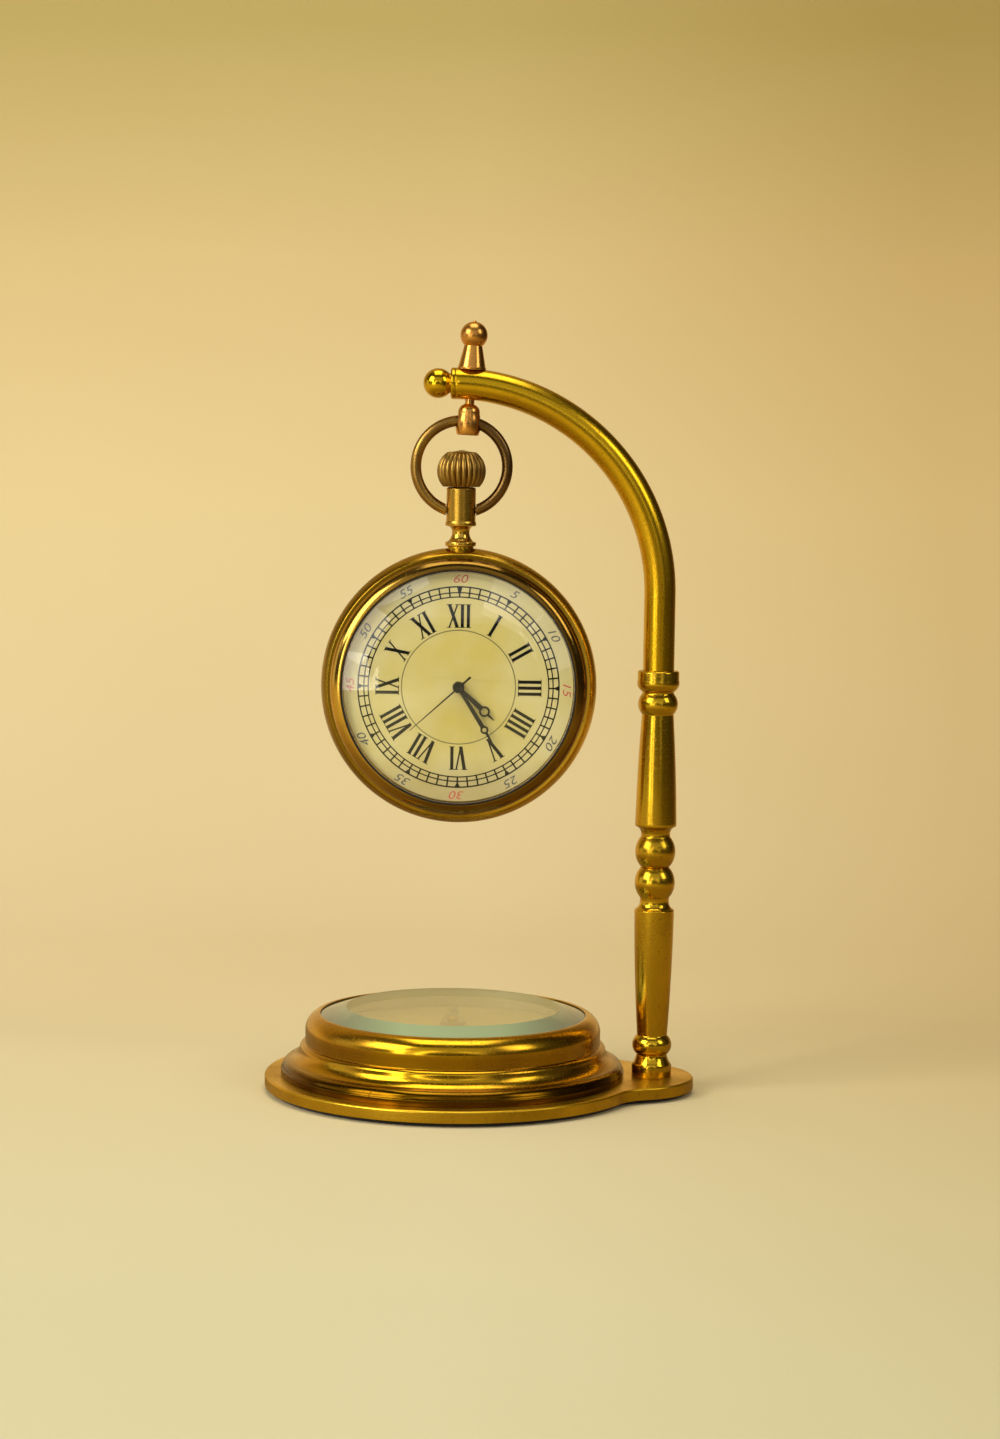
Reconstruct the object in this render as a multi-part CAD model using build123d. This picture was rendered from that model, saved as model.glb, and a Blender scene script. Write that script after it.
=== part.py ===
from build123d import *
import math
import os

# Hanging pocket-watch desk clock: an arched brass stand, a compass in the base and a quartz pocket watch.
# Millimetres, +Z up, the dial faces -Y. The origin is on the table under the middle of the compass.

# Fits, all radial or face to face
slip = 0.05
running = 0.04
gear_running = 0.06
face_gap = 0.1
turned_edge = 0.25
pole_radius = 0.05

# Bow of a moulding's arc, as a share of its chord
round_bow = 0.18
hollow_bow = -0.16
slack_bow = -0.06

# Felt pad and base plate: a disc with a lobe that carries the column
felt_thickness = 0.8
felt_inset = 1.2
plate_ledge = 3.0
plate_thickness = 2.2
plate_edge = 0.4
lobe_radius = 13.0
lobe_inset = 5.2
lobe_blend = 8.0
column_gap = 1.5

# Screws from below
screw_radius = 1.5
screw_head_radius = 2.8
screw_head_height = 1.3
column_screw_grip = 8.0
housing_screw_radius = 1.0
housing_screw_head_radius = 1.9
housing_screw_head_height = 0.9
housing_screw_grip = 2.0
housing_screw_edge = 2.7
housing_screw_count = 3

# Compass glass: a thick disc with a wide polished bevel
glass_radius = 25.4
glass_flat_radius = 19.9
glass_edge_height = 3.6
glass_bevel_height = 1.7

# Compass housing: flange, ogee moulding, bead, wall and rolled rim
drum_wall = 2.05
flange_height = 1.4
ovolo_width = 1.6
ovolo_height = 1.3
cavetto_width = 1.9
cavetto_height = 2.3
bead_height = 0.8
bead_width = 1.0
bead_swell = 0.25
shoulder_height = 3.5
rim_overlap = 0.65
rim_thickness = 0.25
rim_width = 0.5

# Inside the compass
backing_thickness = 3.0
card_thickness = 0.6
spacer_height = 3.6
spacer_wall = 1.0
pivot_foot_radius = 1.4
pivot_foot_height = 0.5
pivot_radius = 0.35
pivot_height = 2.2
pivot_point = 0.6
needle_length = 36.0
needle_width = 5.0
needle_thickness = 0.35
needle_height = 1.1
needle_bearing = 90.0
cap_radius = 1.0
cap_flange_radius = 1.7
cap_flange_height = 0.3
cap_roof = 0.5

# Lower column, from the plate up: foot, bead, swelling shaft, cove and ball
foot_radius = 3.7
foot_height = 2.1
foot_round = 2.0
neck_radius = 2.8
foot_bead_radius = 3.65
foot_bead_height = 3.6
lower_shaft_radius = 3.7
lower_shaft_height = 23.6
lower_entasis = 0.16
cove_height = 1.7
ball_neck_radius = 2.7
ball_neck_height = 0.6
ball_radius = 3.75
ball_height = 5.7
waist_radius = 2.6

# Upper column: ball, cove, lip, tapering shaft, bead and the cup for the arm
upper_cove_height = 1.4
upper_shaft_radius = 3.85
upper_lip_height = 0.6
upper_shaft_height = 20.2
upper_shaft_top_radius = 2.95
upper_entasis = 0.12
top_bead_radius = 3.7
top_bead_height = 3.8
top_neck_height = 0.4
cup_radius = 3.85
cup_bowl_height = 2.2
cup_wall_height = 1.7
stud_radius = 1.5
stud_reach = 5.0

# Arm: a round bar that rises from the cup and bends over
arm_radius = 2.9
arm_rise = 14.1
arm_bend_radius = 38.2
arm_spigot_radius = 2.0
arm_spigot_length = 6.0

# End ball of the arm
end_collar_length = 0.9
end_neck_radius = 1.8
end_neck_length = 0.2
end_ball_radius = 2.75
end_spigot_radius = 1.2
end_spigot_length = 1.2

# Hanger through the arm: eye barrel below, bell and ball finial above
hanger_angle = 3.0
hanger_shift = 0.8
shank_radius = 0.85
shank_grip = 2.6
drop_neck = 0.8
barrel_radius = 2.35
barrel_end_radius = 2.0
barrel_height = 5.7
barrel_shoulder = 1.7
eye_height = 2.4
eye_radius = 1.3
bell_rim_radius = 2.6
bell_rim_height = 0.5
bell_radius = 2.5
bell_top_radius = 1.65
bell_height = 3.9
finial_ball_radius = 2.5
finial_flat_radius = 0.3
finial_button_height = 0.2
bell_seat_depth = 0.3
bell_gap = 0.05

# Bow of the watch
bow_radius = 8.42
bow_wire_radius = 1.0
bow_hang_gap = 0.1
bow_lean = 8.0
bow_pin_radius = 0.6
bow_pin_depth = 1.2
bow_side_gap = 0.1

# Pendant and crown
pendant_radius = 2.7
pendant_tube_height = 7.1
pendant_lip = 0.15
pendant_lip_height = 0.8
pendant_neck_radius = 1.7
pendant_flare_radius = 2.5
pendant_flare_height = 2.35
pendant_cove_height = 0.6
pendant_foot_radius = 2.85
pendant_foot_height = 0.75
pendant_socket_height = 2.95
pendant_spigot_radius = 1.6
pendant_spigot_length = 2.9
seat_radius = 2.4
seat_rise = 0.3
crown_radius = 4.5
crown_foot_radius = 3.4
crown_top_radius = 2.6
crown_height = 6.35
crown_dome = 0.35
crown_gap = 0.1
crown_ribs = 24
crown_rib_height = 0.5
crown_bands = 7

# Watch case, with depths measured back from the middle plane of the band
band_swell = 1.2
band_wall = 1.3
band_front = -2.8
band_back = 3.2
bezel_step = 0.6
bezel_width = 2.05
bezel_rise = 1.95
bezel_land = 0.8
bezel_swell = 0.45
skirt_wall = 0.85
skirt_reach = 1.2
rehaut_ledge = 0.4
rehaut_lean = 0.2
crystal_radius = 21.3
crystal_edge = 1.1
crystal_rise = 2.4
crystal_thickness = 1.2
gasket_wall = 0.35
gasket_height = 0.9
back_edge = 0.4
back_rise = 2.4
back_thickness = 0.8

# Dial, holder ring and movement
dial_rise = 0.8
dial_thickness = 0.4
dial_foot_radius = 0.4
dial_foot_circle = 10.2
holder_ledge = 0.8
movement_edge = 0.4
main_plate_thickness = 1.0
train_space = 2.4
bridge_thickness = 0.6
train_block_radius = 4.6
pillar_radius = 0.9
pillar_circle = 10.4
pillar_clock_angles = (105, 195, 315)
bridge_screw_radius = 0.4
bridge_screw_head_radius = 0.8
bridge_screw_head_height = 0.4
battery_radius = 3.4
battery_thickness = 2.1
battery_gap = 0.2
battery_clock_angle = 240
clip_width = 1.6
clip_length = 7.4
clip_overhang = 1.2
clip_thickness = 0.2
clip_finger_radius = 0.6
coil_radius = 0.95
coil_length = 7.0
coil_core_radius = 0.4
coil_core_length = 9.4
coil_foot = 1.2
coil_circle = 7.2
coil_clock_angle = 150
board_length = 7.0
board_width = 3.2
board_thickness = 0.5
board_circle = 8.2
board_clock_angle = 60
can_radius = 0.7
can_length = 5.0

# Setting stem and lever
stem_radius = 0.5
stem_end = 7.2
stem_crown_grip = 3.0
stem_groove = 8.2
stem_groove_width = 0.5
stem_groove_radius = 0.3
stem_bearing_start = 9.8
stem_bearing_width = 2.4
lever_tongue_width = 0.36
lever_reach = 3.4
lever_body_width = 1.4
lever_body_length = 2.0
lever_thickness = 1.0

# Motion works: cannon pinion, minute wheel and pinion, hour wheel
gear_module = 0.22
cannon_teeth = 10
minute_wheel_teeth = 30
minute_pinion_teeth = 8
gear_width = 0.45
gear_level_gap = 0.15
minute_wheel_clock_angle = 90
post_radius = 0.35
post_over = 0.15
arbor_radius = 0.26
tube_wall = 0.16
cannon_wall = 0.16
hour_wall = 0.2
washer_thickness = 0.2
washer_width = 1.3
washer_gap = 0.15

# Teeth: heights in modules from the pitch circle, widths as shares of the tooth at the pitch circle
tooth_root = -1.25
tooth_shoulder = 0.55
tooth_tip = 0.9
tooth_root_width = 1.15
tooth_shoulder_width = 0.65
tooth_tip_width = 0.15
pinion_tooth_share = 0.4
wheel_tooth_share = 0.46

# Hands, black with an open ring near the tip
hand_thickness = 0.2
hand_spacing = 0.55
hour_hand_level = 0.4
hour_hand_length = 8.9
hour_hand_ring_at = 6.5
hour_hand_ring = 0.95
minute_hand_length = 12.5
minute_hand_ring_at = 9.1
minute_hand_ring = 0.78
hand_ring_wall = 0.36
hand_root_width = 0.6
hand_shoulder_width = 1.15
hand_tip_root_width = 0.7
hand_tip_width = 0.12
hand_hub_wall = 0.16
second_hand_length = 11.8
second_hand_tail = 3.0
second_hand_width = 0.4
second_hand_boss = 0.95
second_hand_boss_height = 0.3
time_hours = 4
time_minutes = 24
time_seconds = 38

# Places worked out from the sizes above
plate_top = felt_thickness + plate_thickness
card_bottom = plate_top + backing_thickness
card_top = card_bottom + card_thickness
glass_bottom = card_top + spacer_height
glass_shoulder = glass_bottom + glass_edge_height
housing_bore_radius = glass_radius + slip
wall_radius = housing_bore_radius + drum_wall
cavetto_radius = wall_radius + bead_width
ogee_radius = cavetto_radius + cavetto_width
flange_radius = ogee_radius + ovolo_width
housing_screw_circle = flange_radius - housing_screw_edge
plate_radius = flange_radius + plate_ledge
column_x = flange_radius + column_gap + foot_radius
lobe_offset = column_x - lobe_inset
bevel_slope = glass_bevel_height / (glass_radius - glass_flat_radius)
rim_opening_radius = glass_radius - rim_overlap
rim_under = glass_shoulder + bevel_slope * rim_overlap + face_gap / 2
rim_top = rim_under + rim_thickness
shaft_start = foot_height + foot_round + foot_bead_height
lower_column_height = (
    shaft_start + lower_shaft_height + cove_height + ball_neck_height + ball_height
)
waist_z = plate_top + lower_column_height
upper_column_height = (
    ball_height + ball_neck_height + upper_cove_height + upper_lip_height + upper_shaft_height
    + top_bead_height + top_neck_height + cup_bowl_height + cup_wall_height
)
cup_z = waist_z + upper_column_height
arc_x = column_x - arm_bend_radius
arc_z = cup_z + arm_rise
barrel_top = arm_bend_radius - arm_radius - drop_neck
barrel_bottom = barrel_top - barrel_height
bell_bottom = arm_bend_radius + arm_radius - bell_seat_depth
eye_distance = barrel_bottom + eye_height
hanger_frame = Pos(arc_x + hanger_shift, 0, arc_z) * Rot(0, hanger_angle, 0)
eye_x = arc_x + hanger_shift + eye_distance * math.sin(math.radians(hanger_angle))
eye_z = arc_z + eye_distance * math.cos(math.radians(hanger_angle))

# The bow hangs in the eye, resting near the two ends of the cross hole, which is drilled aslant
bow_inner_radius = bow_radius - bow_wire_radius
bow_drop = eye_radius - bow_hang_gap + math.sqrt(bow_inner_radius**2 - barrel_radius**2)
bow_x = eye_x - bow_drop * math.sin(math.radians(bow_lean))
bow_z = eye_z - bow_drop * math.cos(math.radians(bow_lean))
bow_end_x = pendant_radius + bow_side_gap
bow_pin_z = bow_z - math.sqrt(bow_radius**2 - bow_end_x**2)

# The watch hangs plumb under the bow
crystal_bore_radius = crystal_radius + gasket_wall
bezel_radius = crystal_bore_radius + bezel_width
band_edge_radius = bezel_radius + bezel_step
band_bore_radius = band_edge_radius - band_wall
band_radius = band_edge_radius + band_swell
rehaut_radius = crystal_radius - rehaut_ledge
pendant_tube_start = pendant_foot_height + pendant_flare_height + pendant_cove_height
pendant_height = pendant_tube_start + pendant_tube_height
seat_height = band_radius + seat_rise
watch_x = bow_x
watch_z = bow_pin_z - pendant_socket_height - pendant_tube_start - seat_height
watch_frame = Location(Plane(origin=(watch_x, 0, watch_z), x_dir=(1, 0, 0), z_dir=(0, 1, 0)))
seat_z = watch_z + seat_height
crown_z = seat_z + pendant_height + crown_gap
crystal_seat = band_front - bezel_land - bezel_rise + crystal_edge
skirt_radius = band_bore_radius - slip
skirt_bore_radius = skirt_radius - skirt_wall
holder_radius = skirt_bore_radius - slip
dial_front = band_front - dial_rise
dial_back = dial_front + dial_thickness
plate_front = dial_back + washer_thickness + washer_gap + 2 * gear_width + gear_level_gap + face_gap
plate_back = plate_front + main_plate_thickness
bridge_front = plate_back + train_space
bridge_back = bridge_front + bridge_thickness
battery_circle = train_block_radius + battery_gap + battery_radius
movement_radius = battery_circle + battery_radius + movement_edge

# Levels and bores of the motion works, from the main plate towards the dial
gear_centre_distance = gear_module * (cannon_teeth + minute_wheel_teeth) / 2
hour_wheel_teeth = cannon_teeth + minute_wheel_teeth - minute_pinion_teeth
cannon_level = plate_front - face_gap
hour_level = cannon_level - gear_width - gear_level_gap
hour_hand_back = dial_front - hour_hand_level
minute_hand_back = hour_hand_back - hand_spacing
second_hand_back = minute_hand_back - hand_spacing
tube_bore_radius = arbor_radius + running
tube_radius = tube_bore_radius + tube_wall
cannon_bore_radius = tube_radius + running
cannon_radius = cannon_bore_radius + cannon_wall
hour_bore_radius = cannon_radius + gear_running
hour_tube_radius = hour_bore_radius + hour_wall
second_angle = 6 * time_seconds
minute_angle = 6 * (time_minutes + time_seconds / 60)
hour_angle = 30 * (time_hours + time_minutes / 60 + time_seconds / 3600)


class Profile:
    """Outline of a turned piece in radius and height, drawn with the material on its left."""

    def __init__(self, radius, height):
        self.start = (radius, 0, height)
        self.last = self.start
        self.edges = []

    def line(self, radius, height):
        point = (radius, 0, height)
        self.edges.append(Line(self.last, point))
        self.last = point
        return self

    def arc(self, radius, height, swell):
        """Arc whose middle lies swell outside the chord, or inside it where swell is negative."""
        across = radius - self.last[0]
        rise = height - self.last[2]
        chord = math.hypot(across, rise)
        middle_radius = (radius + self.last[0]) / 2 + swell * rise / chord
        middle_height = (height + self.last[2]) / 2 - swell * across / chord
        point = (radius, 0, height)
        self.edges.append(ThreePointArc(self.last, (middle_radius, 0, middle_height), point))
        self.last = point
        return self

    def bowed(self, radius, height, bow):
        """Arc that bows out by a share of its chord, or in where the share is negative."""
        return self.arc(radius, height, bow * math.hypot(radius - self.last[0], height - self.last[2]))

    def dome(self, height, thickness_side=1):
        """Spherical cap that ends level at the axis, hollow where thickness_side is -1."""
        rise = abs(height - self.last[2])
        self.arc(pole_radius, height, thickness_side * rise / 4)
        return self.line(0, height)

    def ball(self, radius, flat_radius=pole_radius):
        """Ball from the last point, on its lower half, up to a small flat on top."""
        neck = self.last[0] - flat_radius
        top = self.last[2] + math.sqrt(radius**2 - neck**2) + radius
        chord = math.hypot(neck, top - self.last[2])
        return self.arc(flat_radius, top, radius - math.sqrt(radius**2 - chord**2 / 4))

    def rise(self, height):
        return self.line(self.last[0], self.last[2] + height)

    def to_axis(self):
        return self.line(0, self.last[2])

    def solid(self):
        closing = Line(self.last, self.start)
        return revolve(make_face(self.edges + [closing]), Axis.Z)


def rod(radius, bottom, top):
    """Cylinder on the Z axis between two heights."""
    return Pos(0, 0, bottom) * Cylinder(radius, top - bottom, align=(Align.CENTER, Align.CENTER, Align.MIN))


def ring(outer, inner, bottom, top):
    return Profile(inner, bottom).line(outer, bottom).line(outer, top).line(inner, top).solid()


def cross_rod(radius, start_x, end_x):
    """Cylinder along X between two places."""
    return Rot(0, 90, 0) * rod(radius, start_x, end_x)


def countersunk_screw(radius, head_radius, head_height, top):
    """Screw with its flat head at the bottom, standing on z 0."""
    return (
        Profile(0, 0).line(head_radius, 0).line(radius, head_height).line(radius, top).line(0, top).solid()
    )


def clock_place(circle, clock_angle):
    """Place in the watch frame at a clock angle, seen from the front, with its own up pointing outwards."""
    return Rot(0, 0, clock_angle) * Pos(0, -circle, 0)


def plate_outline(inset):
    """Outline of the base plate, moved in by inset all round."""
    disc = Circle(plate_radius - inset)
    lobe = Pos(lobe_offset, 0) * Rot(0, 0, 180) * Circle(lobe_radius - inset)
    joined = disc + lobe
    return fillet(joined.vertices(), lobe_blend + inset)


def housing_screw_places():
    return PolarLocations(housing_screw_circle, housing_screw_count, start_angle=180)


def make_felt_pad():
    return extrude(plate_outline(felt_inset), felt_thickness)


def make_base_plate():
    plate = Pos(0, 0, felt_thickness) * extrude(plate_outline(0), plate_thickness)
    plate = fillet(plate.faces().sort_by(Axis.Z)[-1].edges(), plate_edge)
    column_hole = countersunk_screw(
        screw_radius + slip, screw_head_radius + slip, screw_head_height, plate_thickness
    )
    plate -= Pos(column_x, 0, felt_thickness) * column_hole
    housing_hole = countersunk_screw(
        housing_screw_radius + slip, housing_screw_head_radius + slip,
        housing_screw_head_height, plate_thickness,
    )
    return plate - [Pos(0, 0, felt_thickness) * place * housing_hole for place in housing_screw_places()]


def make_column_screw():
    length = plate_thickness + column_screw_grip
    screw = countersunk_screw(screw_radius, screw_head_radius, screw_head_height, length)
    return Pos(column_x, 0, felt_thickness) * screw


def make_housing_screws():
    length = plate_thickness + housing_screw_grip
    screw = countersunk_screw(
        housing_screw_radius, housing_screw_head_radius, housing_screw_head_height, length
    )
    seat = Pos(0, 0, felt_thickness)
    return Compound(children=[seat * place * screw for place in housing_screw_places()])


def make_compass_housing():
    ogee_start = plate_top + flange_height
    cavetto_start = ogee_start + ovolo_height
    bead_start = cavetto_start + cavetto_height
    wall_start = bead_start + bead_height
    wall_end = rim_top - shoulder_height
    shoulder_end = rim_opening_radius + rim_width
    bore_top = rim_under - bevel_slope * (housing_bore_radius - rim_opening_radius)
    housing = (
        Profile(housing_bore_radius, plate_top)
        .line(flange_radius, plate_top)
        .line(flange_radius, ogee_start - turned_edge)
        .line(flange_radius - turned_edge, ogee_start)
        .bowed(ogee_radius, cavetto_start, round_bow)
        .bowed(cavetto_radius, bead_start, hollow_bow)
        .arc(wall_radius, wall_start, bead_swell)
        .line(wall_radius, wall_end)
        .bowed(shoulder_end, rim_top, round_bow)
        .line(rim_opening_radius, rim_top)
        .line(rim_opening_radius, rim_under)
        .line(housing_bore_radius, bore_top)
        .solid()
    )
    screw_hole = rod(housing_screw_radius + slip, plate_top, plate_top + housing_screw_grip + face_gap)
    return housing - [place * screw_hole for place in housing_screw_places()]


def make_compass_glass():
    return (
        Profile(0, glass_bottom)
        .line(glass_radius, glass_bottom)
        .line(glass_radius, glass_shoulder)
        .line(glass_flat_radius, glass_shoulder + glass_bevel_height)
        .line(0, glass_shoulder + glass_bevel_height)
        .solid()
    )


def make_glass_spacer_ring():
    return ring(glass_radius, glass_radius - spacer_wall, card_top, glass_bottom)


def make_compass_dial():
    return rod(glass_radius, card_bottom, card_top) - rod(pivot_radius + slip, card_bottom, card_top)


def make_dial_backing():
    return rod(glass_radius, plate_top, card_bottom) - rod(pivot_radius + slip, plate_top, card_bottom)


def make_compass_pivot():
    tip = card_top + pivot_height
    return (
        Profile(0, plate_top)
        .line(pivot_radius, plate_top)
        .line(pivot_radius, card_top)
        .line(pivot_foot_radius, card_top)
        .line(pivot_radius, card_top + pivot_foot_height)
        .line(pivot_radius, tip - pivot_point)
        .line(0, tip)
        .solid()
    )


def make_compass_needle():
    half_length = needle_length / 2
    half_width = needle_width / 2
    outline = Polygon((half_length, 0), (0, half_width), (-half_length, 0), (0, -half_width))
    needle = extrude(outline - Circle(cap_radius + slip), needle_thickness)
    return Pos(0, 0, card_top + needle_height) * Rot(0, 0, needle_bearing) * needle


def make_needle_cap():
    bottom = card_top + needle_height - cap_flange_height
    roof = card_top + pivot_height + running
    bore = pivot_radius + running
    cone_start = roof - pivot_point
    return (
        Profile(bore, bottom)
        .line(cap_flange_radius, bottom)
        .line(cap_flange_radius, bottom + cap_flange_height)
        .line(cap_radius, bottom + cap_flange_height)
        .line(cap_radius, roof)
        .dome(roof + cap_roof)
        .line(0, roof)
        .line(bore, cone_start)
        .solid()
    )


def make_lower_column():
    bead_start = foot_height + foot_round
    shaft_end = shaft_start + lower_shaft_height
    ball_start = shaft_end + cove_height + ball_neck_height
    column = (
        Profile(0, 0)
        .line(foot_radius, 0)
        .line(foot_radius, foot_height)
        .bowed(neck_radius, bead_start, slack_bow)
        .arc(neck_radius, shaft_start, foot_bead_radius - neck_radius)
        .arc(lower_shaft_radius, shaft_end, lower_entasis)
        .bowed(ball_neck_radius, shaft_end + cove_height, hollow_bow)
        .line(ball_neck_radius, ball_start)
        .arc(waist_radius, lower_column_height, ball_radius - (ball_neck_radius + waist_radius) / 2)
        .line(0, lower_column_height)
        .solid()
    )
    column -= rod(screw_radius + slip, 0, column_screw_grip + face_gap)
    column -= rod(stud_radius + slip, lower_column_height - stud_reach - face_gap, lower_column_height)
    return Pos(column_x, 0, plate_top) * column


def make_column_stud():
    return Pos(column_x, 0, waist_z) * rod(stud_radius, -stud_reach, stud_reach)


def make_upper_column():
    cove_start = ball_height + ball_neck_height
    lip_start = cove_start + upper_cove_height
    taper_start = lip_start + upper_lip_height
    taper_end = taper_start + upper_shaft_height
    neck_start = taper_end + top_bead_height
    bowl_start = neck_start + top_neck_height
    bowl_end = bowl_start + cup_bowl_height
    column = (
        Profile(0, 0)
        .line(waist_radius, 0)
        .arc(ball_neck_radius, ball_height, ball_radius - (ball_neck_radius + waist_radius) / 2)
        .line(ball_neck_radius, cove_start)
        .bowed(upper_shaft_radius, lip_start, hollow_bow)
        .line(upper_shaft_radius, taper_start)
        .arc(upper_shaft_top_radius, taper_end, upper_entasis)
        .arc(upper_shaft_top_radius, neck_start, top_bead_radius - upper_shaft_top_radius)
        .line(upper_shaft_top_radius, bowl_start)
        .bowed(cup_radius, bowl_end, round_bow)
        .line(cup_radius, upper_column_height - turned_edge)
        .line(cup_radius - turned_edge, upper_column_height)
        .line(0, upper_column_height)
        .solid()
    )
    column -= rod(stud_radius + slip, 0, stud_reach + face_gap)
    socket_bottom = upper_column_height - arm_spigot_length - face_gap
    column -= rod(arm_spigot_radius + slip, socket_bottom, upper_column_height)
    return Pos(column_x, 0, waist_z) * column


def make_arm():
    foot = (column_x, 0, cup_z)
    bend_start = (column_x, 0, arc_z)
    diagonal = arm_bend_radius * math.sqrt(0.5)
    bend_middle = (arc_x + diagonal, 0, arc_z + diagonal)
    end = (arc_x, 0, arc_z + arm_bend_radius)
    path = Line(foot, bend_start) + ThreePointArc(bend_start, bend_middle, end)
    arm = sweep(Pos(*foot) * Circle(arm_radius), path)
    arm += Pos(column_x, 0, 0) * rod(arm_spigot_radius, cup_z - arm_spigot_length, cup_z)
    arm -= hanger_frame * rod(shank_radius + slip, barrel_top, bell_bottom)
    arm -= hanger_frame * rod(bell_rim_radius + slip, bell_bottom - bell_gap, bell_bottom + arm_radius)
    end_hole = cross_rod(end_spigot_radius + slip, 0, end_spigot_length + face_gap)
    return arm - Pos(*end) * end_hole


def make_arm_end_ball():
    neck_start = end_collar_length
    ball_start = neck_start + end_neck_length
    ball = (
        Profile(0, -end_spigot_length)
        .line(end_spigot_radius, -end_spigot_length)
        .line(end_spigot_radius, 0)
        .line(arm_radius, 0)
        .line(arm_radius, neck_start - turned_edge)
        .line(arm_radius - turned_edge, neck_start)
        .line(end_neck_radius, neck_start)
        .line(end_neck_radius, ball_start)
        .ball(end_ball_radius)
        .to_axis()
        .solid()
    )
    return Pos(arc_x, 0, arc_z + arm_bend_radius) * Rot(0, -90, 0) * ball


def make_hanger_eye():
    shank_top = bell_bottom + shank_grip
    barrel = (
        Profile(0, barrel_bottom)
        .line(barrel_end_radius, barrel_bottom)
        .arc(barrel_end_radius, barrel_top - barrel_shoulder, barrel_radius - barrel_end_radius)
        .bowed(shank_radius, barrel_top, round_bow)
        .line(shank_radius, shank_top)
        .line(0, shank_top)
        .solid()
    )
    eye = cross_rod(eye_radius, -2 * barrel_radius, 2 * barrel_radius)
    return hanger_frame * barrel - Pos(eye_x, 0, eye_z) * Rot(0, bow_lean, 0) * eye


def make_hanger_finial():
    bell_start = bell_bottom + bell_rim_height
    finial = (
        Profile(0, bell_bottom)
        .line(bell_rim_radius, bell_bottom)
        .line(bell_rim_radius, bell_start)
        .line(bell_radius, bell_start)
        .line(bell_top_radius, bell_start + bell_height)
        .ball(finial_ball_radius, finial_flat_radius)
        .rise(finial_button_height)
        .to_axis()
        .solid()
    )
    socket = rod(shank_radius + slip, bell_bottom, bell_bottom + shank_grip + face_gap)
    return hanger_frame * (finial - socket)


def make_bow():
    foot_angle = math.asin((bow_end_x - bow_wire_radius) / bow_radius)
    foot = (watch_x + bow_radius * math.sin(foot_angle), 0, bow_z - bow_radius * math.cos(foot_angle))
    tangent = (math.cos(foot_angle), 0, math.sin(foot_angle))
    section = Location(Plane(origin=foot, z_dir=tangent)) * Circle(bow_wire_radius)
    turn = 360 - 2 * math.degrees(foot_angle)
    bow = revolve(section, Axis((watch_x, 0, bow_z), (0, -1, 0)), turn)
    opening = Box(2 * bow_end_x, 4 * bow_wire_radius, 4 * bow_wire_radius)
    bow -= Pos(watch_x, 0, bow_z - bow_radius) * opening
    pin_start = pendant_radius - bow_pin_depth
    for side in (-1, 1):
        pin = cross_rod(bow_pin_radius, pin_start, bow_end_x + bow_wire_radius / 2)
        bow += Pos(watch_x, 0, bow_pin_z) * Rot(0, 90 - 90 * side, 0) * pin
    return bow


def make_pendant_tube():
    lip_radius = pendant_radius + pendant_lip
    pendant = (
        Profile(stem_radius + running, -pendant_spigot_length)
        .line(pendant_spigot_radius, -pendant_spigot_length)
        .line(pendant_spigot_radius, 0)
        .line(pendant_foot_radius, 0)
        .line(pendant_foot_radius, pendant_foot_height)
        .line(pendant_flare_radius, pendant_foot_height)
        .bowed(pendant_neck_radius, pendant_foot_height + pendant_flare_height, hollow_bow)
        .bowed(lip_radius, pendant_tube_start, hollow_bow)
        .line(lip_radius, pendant_tube_start + pendant_lip_height - pendant_lip)
        .line(pendant_radius, pendant_tube_start + pendant_lip_height)
        .line(pendant_radius, pendant_height - turned_edge)
        .line(pendant_radius - turned_edge, pendant_height)
        .line(stem_radius + running, pendant_height)
        .solid()
    )
    socket_height = pendant_tube_start + pendant_socket_height
    socket_start = pendant_radius - bow_pin_depth - face_gap
    socket = cross_rod(bow_pin_radius + running, socket_start, lip_radius)
    for side in (-1, 1):
        pendant -= Pos(0, 0, socket_height) * Rot(0, 90 - 90 * side, 0) * socket
    return Pos(watch_x, 0, seat_z) * pendant


def ribbed_outline(radius):
    """Outline of the crown at one height: rounded ribs that meet in sharp valleys."""
    valley_radius = radius * (1 - crown_rib_height / crown_radius)
    step = 360 / crown_ribs
    ribs = []
    for number in range(crown_ribs):
        middle = number * step
        places = ((valley_radius, middle - step / 2), (radius, middle), (valley_radius, middle + step / 2))
        ribs.append(ThreePointArc(*[Vector(reach, 0).rotate(Axis.Z, turn) for reach, turn in places]))
    return make_face(ribs)


def make_crown():
    middle_radius = (crown_foot_radius + crown_top_radius) / 2
    across = crown_foot_radius - crown_top_radius
    chord = math.hypot(across, crown_height)
    swell = crown_radius - middle_radius
    side_radius = (chord**2 / 4 + swell**2) / (2 * swell)
    centre_radius = middle_radius - (side_radius - swell) * crown_height / chord
    centre_height = crown_height / 2 - (side_radius - swell) * across / chord
    start = math.atan2(-centre_height, crown_foot_radius - centre_radius)
    end = math.atan2(crown_height - centre_height, crown_top_radius - centre_radius)
    sections = []
    for band in range(crown_bands + 1):
        angle = start + (end - start) * band / crown_bands
        outline = ribbed_outline(centre_radius + side_radius * math.cos(angle))
        sections.append(Pos(0, 0, centre_height + side_radius * math.sin(angle)) * outline)
    crown = loft(sections, ruled=True)
    dome = Profile(0, crown_height).line(crown_top_radius - crown_rib_height, crown_height)
    crown += dome.dome(crown_height + crown_dome).solid()
    crown -= rod(stem_radius, 0, stem_crown_grip)
    return Pos(watch_x, 0, crown_z) * crown


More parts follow.
